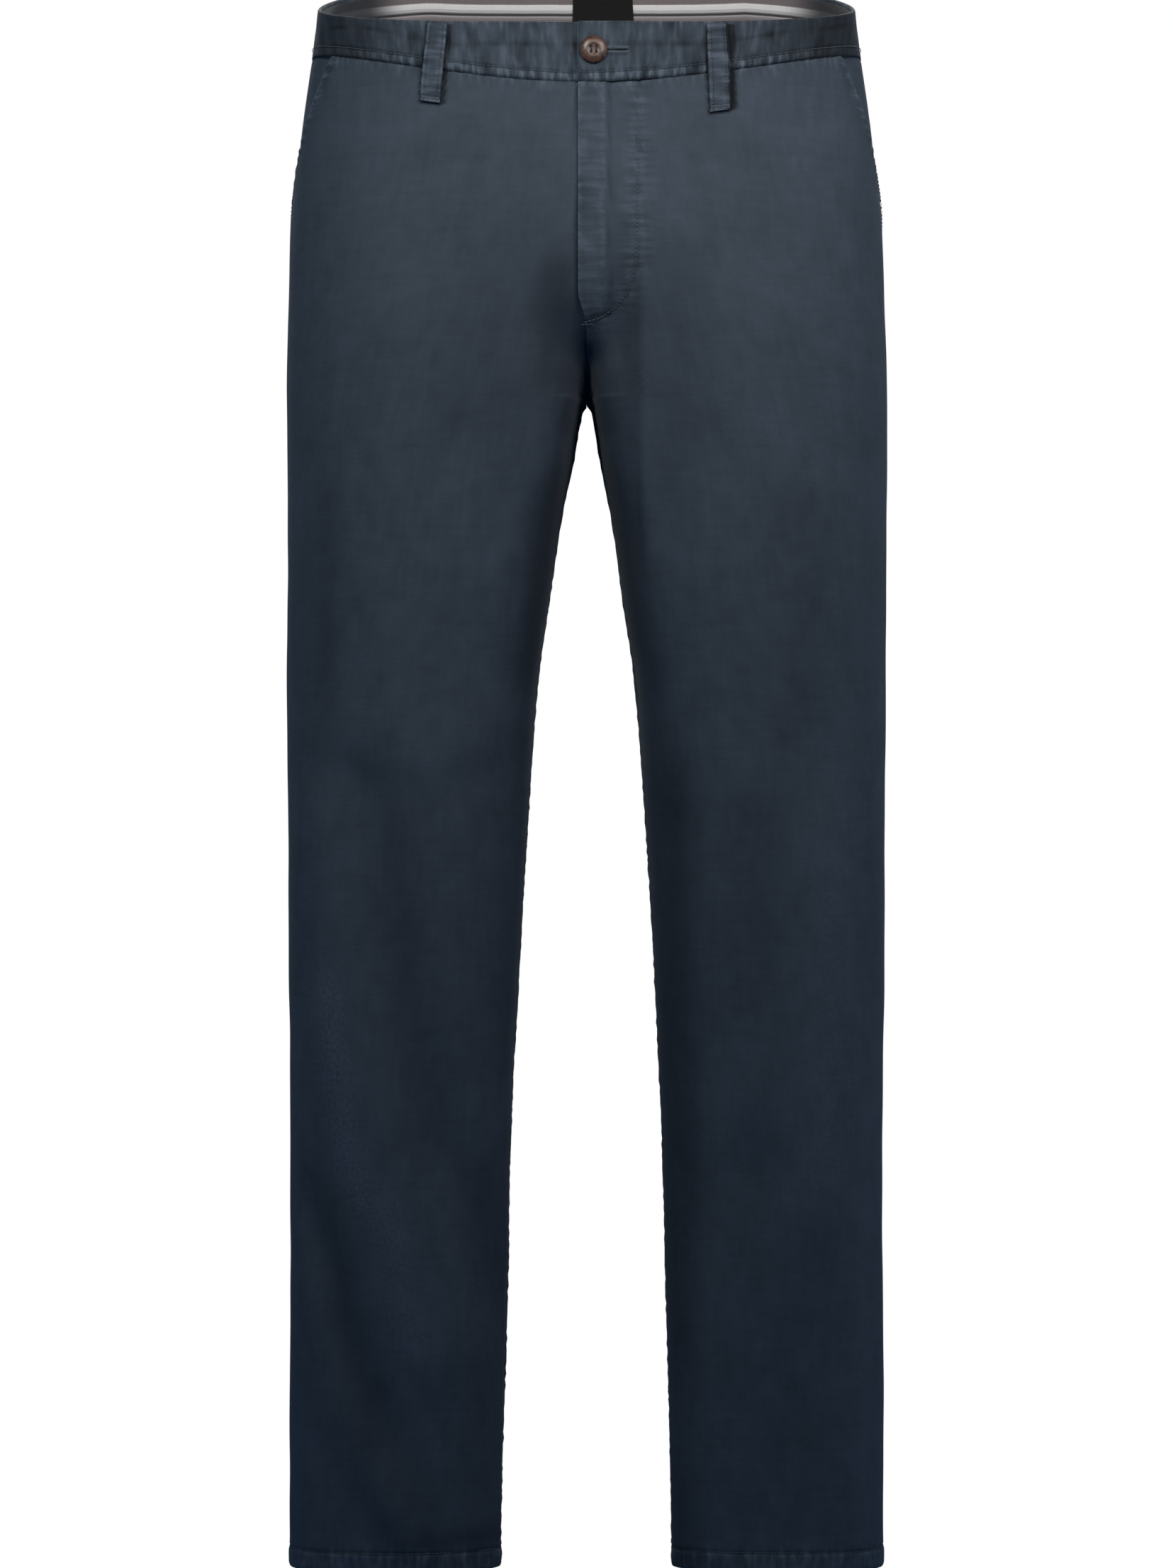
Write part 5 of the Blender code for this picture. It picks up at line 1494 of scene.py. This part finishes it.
class CHINO_OT_lining(Operator):
    """Make the waistband's striped lining and the bare patch at the back"""
    bl_idname = "chino.lining"
    bl_label = "Waistband lining"

    def execute(self, context):
        lining = lining_material("waistband_lining")
        count, columns = LINING_GRID
        for side, hand in HANDS:
            start_x = UNDERLAP + 2.0 if side > 0 else -UNDERLAP
            cloth = band_grid(side, start_x, lambda u: top_edge(u) - LINING_TOP,
                              lambda u: waist_seam(u) + LINING_FOOT, np.linspace(0.0, 1.0, count), columns)
            base = BAND_PROUD + lap_shift(side, cloth.x(), cloth.u) - BAND_WALL - LAID_GAP
            wave = 0.12 * ripple(cloth.start, 12.0, 120 + side) * ease(cloth.down / 5.0)
            outer, inner = cloth.lifted(base), cloth.lifted(base - LINING_WALL + wave)
            for skin in (outer, inner):
                skin[:, -1, 0] = 0.0
            cloth.shade = 0.95 * ease((np.abs(cloth.x()) - LINING_DUSK[side]) / 30.0)
            sheet(f"waistband_lining_{hand}", cloth, (outer, inner), lining,
                  f"cloth_lining_{hand}", layers=("shade",))
        self.patch()
        return {"FINISHED"}

    def patch(self):
        """The black woven patch, with nothing on it."""
        count, columns = LABEL_GRID
        across = np.linspace(LABEL_X - LABEL_WIDTH / 2, LABEL_X + LABEL_WIDTH / 2, columns)
        shares = [share_at_x(abs(x), LABEL_Z, "back") for x in across]
        shares = np.array([2.0 - share if x < 0 else share for x, share in zip(across, shares)])
        u = np.repeat(shares[None, :], count, axis=0)
        drop = np.linspace(LABEL_TOP, LABEL_TOP + LABEL_HEIGHT, count)[:, None]
        cloth = Cloth(1, u, top_edge(u) - drop)
        base = BAND_PROUD - BAND_WALL - 2 * LAID_GAP - LINING_WALL
        edge = np.minimum(cloth.down, cloth.down[-1:] - cloth.down)
        edge = np.minimum(np.minimum(cloth.start, cloth.end), edge)
        sewn = 0.25 * bell(edge - 2.0, 0.8)
        skins = cloth.lifted(base), cloth.lifted(base - LABEL_WALL + sewn)
        sheet("waist_label", cloth, skins, label_material("woven_label"),
              "cloth_label", layers=())


def loop_cloth(loop, rows, columns):
    """The grid of a belt loop and how far it stands off the garment."""
    side = -1 if loop.x < 0 else 1
    share = np.linspace(0.0, 1.0, rows)[:, None]
    middle, per_share = loop_middle(loop, share)
    u = middle + np.linspace(-0.5, 0.5, columns)[None, :] * LOOP_WIDTH / per_share
    top, bottom = top_edge(u) - LOOP_TOP_INSET, waist_seam(u) - loop.drop
    z = top + (bottom - top) * share
    cloth = Cloth(side, u, z)
    rest = LAID_GAP + BAND_PROUD * ease((z - waist_seam(u) + 3.0) / 3.0)
    bow = loop.bow * np.sin(math.pi * share) ** 0.7
    twist = loop.twist * np.sin(math.pi * share) * np.linspace(-1.0, 1.0, columns)[None, :]
    return cloth, rest + bow + twist, share


class CHINO_OT_loops(Operator):
    """Make the belt loops"""
    bl_idname = "chino.loops"
    bl_label = "Belt loops"

    def execute(self, context):
        for number, loop in enumerate(LOOPS):
            cloth, stand, share = loop_cloth(loop, *LOOP_GRID)
            edge = np.minimum(cloth.start, cloth.end)
            bottom = (1.0 - share) * float(cloth.down[-1].max())
            relief = -0.5 * bell(edge, 0.7) - 0.32 * bell(edge - 2.4, 0.7) - 0.45 * bell(bottom - 3.0, 1.6)
            relief += 0.30 * bell(edge - LOOP_WIDTH / 2, 3.0)
            relief += 0.28 * ripple(cloth.down, 8.0, 140 + number) * bell(edge - 3.0, 3.0)
            outer = cloth.lifted(stand + LOOP_WALL + relief)
            inner = cloth.lifted(stand + 0.15 + 0.25 * bell(edge, 0.7))
            cloth.wear += 0.55 * bell(edge - 0.9, 0.9) + 0.7 * bell(bottom - 0.8, 1.2) + 0.08
            # Painted shade along the loop's edges, just above its foot and a little all over, and a
            # painted shadow down the edge of a loop that twists away from the light
            cloth.shade += 0.35 * bell(edge - 2.4, 0.6) + 0.6 * bell(edge, 0.45)
            cloth.shade += 0.5 * bell(bottom - 3.2, 0.9)
            cloth.pucker_up += 0.6
            middle = LOOP_GRID[1] // 2
            turned = LOOP_WIDTH / 2 - (cloth.points[..., 0] - cloth.points[:, middle:middle + 1, 0])
            cloth.shade += 0.10 + 1.4 * loop.twist * bell(turned, 1.8) * (loop.twist > 0.5)
            uv = np.stack([cloth.start + 31.0 * number, -cloth.down], axis=-1)
            sheet(loop.name, cloth, (outer, inner), twill(), uv=uv)
        return {"FINISHED"}


def welt_ends(inset):
    """The shares of a welt's two ends, this far in from them."""
    return [share_at_x(WELT_X + end * (WELT_LENGTH / 2 - inset), WELT_Z, "back") for end in (1, -1)]


def welt_height(u, up):
    """The height of a line along a welt, this far up from its middle."""
    return WELT_Z + up + (waist_seam(u) - SEAM_BACK) * WELT_SLOPE


class CHINO_OT_welts(Operator):
    """Make the welts of the back pockets"""
    bl_idname = "chino.welts"
    bl_label = "Back welts"

    def execute(self, context):
        count, columns = WELT_GRID
        u = np.repeat(np.linspace(*welt_ends(0.0), columns)[None, :], count, axis=0)
        share = np.linspace(0.5, -0.5, count)[:, None]
        for side, hand in HANDS:
            cloth = Cloth(side, u, welt_height(u, share * WELT_HEIGHT))
            edge = np.minimum((share + 0.5) * WELT_HEIGHT, (0.5 - share) * WELT_HEIGHT)
            edge = np.minimum(edge, np.minimum(cloth.start, cloth.end))
            relief = -0.6 * bell(edge, 0.7) - 0.25 * bell(edge - WELT_STITCH, 0.6)
            relief = relief + 0.18 * ripple(cloth.start, 9.0, 160 + side) * bell(edge - 3.0, 3.0)
            base = cloth.lifted(fold_height(cloth.points, cloth.normals))
            outer = base + cloth.normals * (LAID_GAP + WELT_WALL + relief)[..., None]
            inner = base + cloth.normals * (LAID_GAP - 0.2)
            cloth.wear += 0.45 * bell(edge, 1.1)
            # Painted shade along the stitch lines
            cloth.shade += 0.5 * bell(edge - WELT_STITCH, 0.5)
            cloth.pucker_across += 0.6
            sheet(f"back_welt_{hand}", cloth, (outer, inner), twill())
        return {"FINISHED"}


def surface_line(side, u, z, lift):
    """World points and normals along a line on the cloth, folds included."""
    flip = np.array([side, 1.0, 1.0])
    base = section(u, z) * flip
    normals = outward(u, z) * flip
    height = fold_height(base, normals) + lift
    return base + normals * height[:, None], normals


class CHINO_OT_stitching(Operator):
    """Sew the topstitching, hems and bartacks"""
    bl_idname = "chino.stitching"
    bl_label = "Stitching"

    def execute(self, context):
        for place in (self.waistband, self.fly, self.hems, self.pockets, self.loops, self.welts):
            thread_piece(f"stitching_{place.__name__}", place(), thread())
        return {"FINISHED"}

    def run(self, side, u, z, lift, pitch=None, radius=0.26):
        """One line of stitches on the cloth."""
        pitch = pitch or sizes().stitch
        points, normals = surface_line(side, np.asarray(u, float), np.asarray(z, float), lift)
        return stitch_points(points, normals, pitch, pitch * STITCH_FILL, radius, STITCH_SINK)

    def waistband(self):
        parts = []
        first = share_at_x(BAND_LAP - 1.5, WAIST_Z, "front")
        for side in (1, -1):
            u = np.linspace(-first if side > 0 else 0.035, 0.9995, 400)
            x = section(u, waist_seam(u))[:, 0]
            lift = BAND_PROUD + lap_shift(side, x, u) - 0.05
            parts.append(self.run(side, u, waist_seam(u) + EDGE_STITCH, lift))
        return parts

    def fly(self):
        steps, stops = np.linspace(0.0, len(J_STITCH) - 1.0, 160), np.arange(len(J_STITCH))
        x, z = np.interp(steps, stops, J_STITCH[:, 0]), np.interp(steps, stops, J_STITCH[:, 1])
        keep = z < J_TOP_Z
        x, z = x[keep], z[keep]
        u = [share_across(a, b) for a, b in zip(x, z)]
        tack_x, tack_z = np.linspace(-3.5, 4.5, 12), np.full(12, TACK_Z)
        tack_u = [share_across(a, TACK_Z) for a in tack_x]
        return [self.run(1, u, z, fly_lift(x, z) - 0.35),
                self.run(1, tack_u, tack_z, fly_lift(tack_x, tack_z) + 0.1, 0.9, 0.32)]

    def hems(self):
        u, z = np.linspace(0.003, 0.997, 300), np.full(300, HEM_Z + HEM_TURN)
        return [self.run(side, u, z, -0.25) for side in (1, -1)]

    def pockets(self):
        parts = []
        side_z = np.linspace(WAIST_Z - 3.0, MOUTH_END_Z + 4.0, 80)
        u = mouth_u(side_z)
        z = np.array([float(row_heights(np.array([a]), b, 0.0)[0]) for a, b in zip(u, side_z)])
        per_share = np.linalg.norm(section(u - SHORT_STEP, z) - section(u, z), axis=1) / SHORT_STEP
        tack_u = SIDE_SEAM_U - MOUTH_STITCH / per_share[-1] * (1.0 - np.linspace(0.0, 1.0, 10))
        for side in (1, -1):
            parts.append(self.run(side, u - MOUTH_STITCH / per_share, z, 0.05))
            parts.append(self.run(side, tack_u, np.full(10, MOUTH_END_Z), 0.1, 0.9, 0.3))
        return parts

    def loops(self):
        parts = []
        for loop in LOOPS:
            cloth, stand = loop_cloth(loop, *LOOP_STITCH_GRID)[:2]
            top = cloth.lifted(stand + LOOP_WALL - 0.28)
            for column in (2, LOOP_STITCH_GRID[1] - 3):
                line, normals = top[1:-1, column], cloth.normals[1:-1, column]
                parts.append(stitch_points(line, normals, *LOOP_STITCH))
            for row, lift in ((-2, 0.10), (-3, 0.10), (1, 0.05)):
                across = cloth.lifted(stand + LOOP_WALL + lift - 0.35)[row, 1:-1]
                parts.append(self.tack(across, cloth.normals[row, 1:-1]))
        return parts

    def tack(self, points, normals):
        """A dense bar of short upright stitches along a line."""
        vertices, faces = [], []
        along = np.linspace(0.0, len(points) - 1.0, 22)
        places = np.stack([np.interp(along, np.arange(len(points)), points[:, k]) for k in range(3)], -1)
        normal = normals[len(normals) // 2]
        for place in places:
            add_bar(vertices, faces, place, upright(normal), normal, *TACK_BAR)
        return vertices, faces

    def welts(self):
        parts = []
        u = np.linspace(*welt_ends(WELT_STITCH), 120)
        for side in (1, -1):
            for place in (-0.5, 0.5):
                z = welt_height(u, place * (WELT_HEIGHT - 2 * WELT_STITCH))
                parts.append(self.run(side, u, z, LAID_GAP + WELT_WALL - 0.25))
        return parts


class CHINO_OT_button(Operator):
    """Make the four-hole button, its thread and the buttonhole's stitches"""
    bl_idname = "chino.button"
    bl_label = "Button"

    def execute(self, context):
        low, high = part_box("waist_button")
        radius = (high[0] - low[0]) / 2 / METRES + BUTTON_SPREAD
        share = share_at_x(BUTTON_X, BUTTON_Z, "front")
        lift = BAND_PROUD + LAP_SHIFT + LAID_GAP
        at, normals = surface_line(1, np.array([share]), np.array([BUTTON_Z]), lift)
        out = Vector(normals[0]).normalized()
        up = out.cross(Vector(ACROSS)).normalized()
        turn = Matrix((up.cross(out), up, out)).transposed().to_4x4()
        place = Matrix.Translation(Vector(at[0]) * METRES) @ turn
        self.blank(radius, place)
        self.sewing(place)
        self.buttonhole()
        return {"FINISHED"}

    def blank(self, radius, place):
        """The turned button, with its four holes cut through."""
        thick = BUTTON_THICKNESS
        profile = [(radius * out, thick * up) for out, up in BUTTON_PROFILE]
        profile += [(radius * out, thick - BUTTON_DISH * down) for out, down in DISH_PROFILE]
        shape = bmesh.new()
        line = [shape.verts.new(Vector((r, 0.0, h)) * METRES) for r, h in profile]
        edges = [shape.edges.new(pair) for pair in zip(line[:-1], line[1:])]
        bmesh.ops.spin(shape, geom=line + edges, cent=(0, 0, 0), axis=(0, 0, 1), angle=math.tau,
                       steps=96, use_merge=True)
        bmesh.ops.remove_doubles(shape, verts=shape.verts, dist=1e-6)
        bmesh.ops.recalc_face_normals(shape, faces=shape.faces)
        mesh = bpy.data.meshes.new("button_blank")
        shape.to_mesh(mesh)
        shape.free()
        drill = bmesh.new()
        for right in (-1, 1):
            for high in (-1, 1):
                centre = Vector((right * HOLE_SPACING, high * HOLE_SPACING, thick / 2)) * METRES
                bmesh.ops.create_cone(drill, cap_ends=True, segments=28, depth=3 * thick * METRES,
                                      radius1=HOLE_RADIUS * METRES, radius2=HOLE_RADIUS * METRES,
                                      matrix=Matrix.Translation(centre))
        holes_mesh = bpy.data.meshes.new("button_drill")
        drill.to_mesh(holes_mesh)
        drill.free()
        blank = bpy.data.objects.new("button_blank", mesh)
        holes = bpy.data.objects.new("button_drill", holes_mesh)
        for each in (blank, holes):
            link(each)
        cut = blank.modifiers.new("holes", "BOOLEAN")
        cut.object, cut.operation, cut.solver = holes, "DIFFERENCE", "EXACT"
        bpy.context.view_layer.update()
        cut_blank = blank.evaluated_get(bpy.context.evaluated_depsgraph_get())
        made = bpy.data.meshes.new_from_object(cut_blank)
        for each in (blank, holes):
            bpy.data.objects.remove(each)
        made.transform(place)
        made.shade_smooth()
        made.set_sharp_from_angle(angle=math.radians(40.0))
        made.materials.clear()
        piece = put("horn_button", made, horn_material("horn_button", colours().horn))
        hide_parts("waist_button")

    def sewing(self, place):
        """Thread through the holes and the shank under the button."""
        vertices, faces = [], []
        top = BUTTON_THICKNESS - BUTTON_DISH * 1.12
        for right in (-1, 1):
            for k in (-0.38, 0.0, 0.38):
                middle = np.array([right * HOLE_SPACING + k, 0.0, top + 0.22])
                add_bar(vertices, faces, middle, ALONG, UP, 2 * HOLE_SPACING + 1.0, 0.24)
            for high in (-1, 1):
                middle = np.array([right * HOLE_SPACING, high * HOLE_SPACING, top / 2 + 0.2])
                add_bar(vertices, faces, middle, UP, ALONG, top + 0.4, 0.55)
        moved = [np.array(place @ (Vector(v) * METRES)) / METRES for v in vertices]
        black = thread_material("button_thread", BUTTON_THREAD_COLOUR)
        thread_piece("stitching_button", [(moved, faces)], black)

    def buttonhole(self):
        """Close upright stitches along both lips of the buttonhole."""
        vertices, faces = [], []
        count = int((BUTTONHOLE_END - BUTTONHOLE_START) / BUTTONHOLE_PITCH)
        x = np.linspace(BUTTONHOLE_START, BUTTONHOLE_END, count)
        u = np.array([share_across(a, BUTTON_Z) for a in x])
        lift = BAND_PROUD + lap_shift(1, x, u) + 0.45
        points, normals = surface_line(1, u, np.full(count, BUTTON_Z), lift)
        for point, normal in zip(points, normals):
            run = upright(normal)
            for high in (-1, 1):
                add_bar(vertices, faces, point + run * high * 1.55, run, normal, *LIP_BAR)
        thread_piece("stitching_buttonhole", [(vertices, faces)], thread())


class CHINO_OT_zip(Operator):
    """Finish the zip behind the fly"""
    bl_idname = "chino.zip"
    bl_label = "Zip"

    def execute(self, context):
        tape = thread_material("zip_tape", ZIP_TAPE_COLOUR)
        metal = brass_material("zip_metal", colours().brass)
        for node, material in (("fly_zip", tape), ("zip_slider", metal)):
            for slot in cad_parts[node].material_slots:
                slot.material = material
        vertices, faces = [], []
        z = np.arange(ZIP_TOP, ZIP_FOOT, -TOOTH_PITCH)
        u = np.array([share_across(ZIP_X, height) for height in z])
        points, normals = surface_line(1, u, z, -ZIP_DEPTH)
        for number, (point, normal) in enumerate(zip(points, normals)):
            shift = ACROSS * (TOOTH_SHIFT if number % 2 else -TOOTH_SHIFT)
            add_bar(vertices, faces, point + shift, ACROSS, normal, *TOOTH_BAR)
        thread_piece("zip_teeth", [(vertices, faces)], metal)
        return {"FINISHED"}


# ---------------------------------------------------------------- stage

CAMERA_DISTANCE = 4.0
CAMERA_HEIGHT = -0.5235
FRAME_HEIGHT = 1.095     # metres that the frame's long side takes in at the garment's middle
SENSOR = 36.0
FLOOR_Z = -1.30
FLOOR_RADIUS = 1.5
FLOOR_FADE = (0.45, 0.96 * FLOOR_RADIUS)     # where the floor starts and ends turning white
FLOOR_GLOW = 0.5         # share of the floor's own white, which keeps the shadows on it soft
SKY_COLOUR, SKY_STRENGTH = (0.14, 0.48, 1.0), 0.15
CLIP_END = 60.0

Light = namedtuple("Light", "name place aim size power colour")
LIGHTS = (
    Light("key", (-0.35, -0.95, 0.50), (0.0, 0.0, -0.12), (0.16, 0.16), 5.8, (1.0, 0.99, 0.88)),
    Light("soft", (0.30, -0.70, 0.30), (0.05, 0.0, -0.15), (0.4, 0.4), 4.2, (1.0, 0.96, 0.90)),
    Light("rim_left", (1.7, 0.9, 0.35), (0.2, 0.0, -0.4), (0.8, 1.6), 3.8, (0.92, 0.97, 1.0)),
    Light("side_right", (-1.4, -0.4, -0.1), (-0.15, 0.0, -0.4), (0.5, 1.4), 2.2, (0.94, 1.0, 0.96)),
    Light("side_left", (1.4, -0.4, -0.1), (0.15, 0.0, -0.4), (0.5, 1.4), 2.8, (0.92, 1.0, 0.96)),
    Light("back", (0.35, 1.00, 0.55), (0.0, 0.0, -0.12), (0.16, 0.16), 5.8, (1.0, 0.99, 0.88)),
    Light("back_soft", (-0.30, 0.85, 0.35), (-0.05, 0.0, -0.15), (0.4, 0.4), 5.0, (1.0, 0.96, 0.90)),
)


class CHINO_OT_stage(Operator):
    """Set up the floor, background, lights and camera"""
    bl_idname = "chino.stage"
    bl_label = "Stage"

    def execute(self, context):
        self.floor()
        self.background()
        for light in LIGHTS:
            self.light(light)
        self.camera()
        context.scene.view_settings.view_transform = "Standard"
        return {"FINISHED"}

    def floor(self):
        shape = bmesh.new()
        bmesh.ops.create_circle(shape, cap_ends=True, segments=128, radius=FLOOR_RADIUS)
        mesh = bpy.data.meshes.new("floor")
        shape.to_mesh(mesh)
        shape.free()
        mesh.materials.append(floor_material("pale_floor", colours().floor))
        floor = bpy.data.objects.new("floor", mesh)
        floor.location = (0.0, 0.0, FLOOR_Z)
        floor.visible_diffuse = False
        floor.visible_glossy = False
        link(floor)

    def background(self):
        """White behind the garment, and a low even light on it."""
        world = bpy.data.worlds.new("studio")
        bpy.context.scene.world = world
        tree = Tree(world)
        seen = tree.node("ShaderNodeLightPath", output=0)
        white = tree.node("ShaderNodeBackground", inputs={0: opaque((1.0, 1.0, 1.0)), 1: 1.0})
        low = tree.node("ShaderNodeBackground", inputs={0: opaque(SKY_COLOUR), 1: SKY_STRENGTH})
        both = tree.node("ShaderNodeMixShader", inputs={0: seen, 1: low, 2: white})
        tree.node("ShaderNodeOutputWorld", inputs={0: both})

    def light(self, light):
        data = bpy.data.lights.new(light.name, "AREA")
        data.shape = "RECTANGLE"
        data.size, data.size_y = light.size
        data.energy = light.power
        data.color = light.colour
        lamp = bpy.data.objects.new(light.name, data)
        lamp.location = light.place
        aim = Vector(light.aim) - Vector(light.place)
        lamp.rotation_euler = aim.to_track_quat("-Z", "Y").to_euler()
        lamp.visible_camera = False
        link(lamp)

    def camera(self):
        data = bpy.data.cameras.new("camera")
        data.sensor_width = SENSOR
        data.lens = SENSOR * CAMERA_DISTANCE / FRAME_HEIGHT
        data.clip_end = CLIP_END
        camera = bpy.data.objects.new("camera", data)
        camera.location = (0.0, -CAMERA_DISTANCE, CAMERA_HEIGHT)
        camera.rotation_euler = (math.pi / 2, 0.0, 0.0)
        link(camera)
        bpy.context.scene.camera = camera


class CHINO_PT_panel(Panel):
    """The steps that make the trousers, in order"""
    bl_idname = "CHINO_PT_panel"
    bl_label = "Chino trousers"
    bl_space_type = "VIEW_3D"
    bl_region_type = "UI"
    bl_category = "Chinos"

    def draw(self, context):
        for group in (context.scene.chino_sizes, context.scene.chino_colours):
            for name in group.__annotations__:
                self.layout.prop(group, name)
        for step in STEPS:
            self.layout.operator(step.bl_idname)


STEPS = (
    CHINO_OT_fronts, CHINO_OT_backs, CHINO_OT_facings, CHINO_OT_waistband, CHINO_OT_lining,
    CHINO_OT_loops, CHINO_OT_welts, CHINO_OT_stitching, CHINO_OT_button, CHINO_OT_zip, CHINO_OT_stage,
)
GROUPS = (ChinoColours, ChinoSizes)


def register():
    for each in GROUPS + STEPS + (CHINO_PT_panel,):
        bpy.utils.register_class(each)
    bpy.types.Scene.chino_colours = PointerProperty(type=ChinoColours)
    bpy.types.Scene.chino_sizes = PointerProperty(type=ChinoSizes)


def unregister():
    del bpy.types.Scene.chino_sizes
    del bpy.types.Scene.chino_colours
    for each in reversed(GROUPS + STEPS + (CHINO_PT_panel,)):
        bpy.utils.unregister_class(each)


def main():
    register()
    for step in STEPS:
        group, name = step.bl_idname.split(".")
        getattr(getattr(bpy.ops, group), name)()


if __name__ == "__main__":
    main()
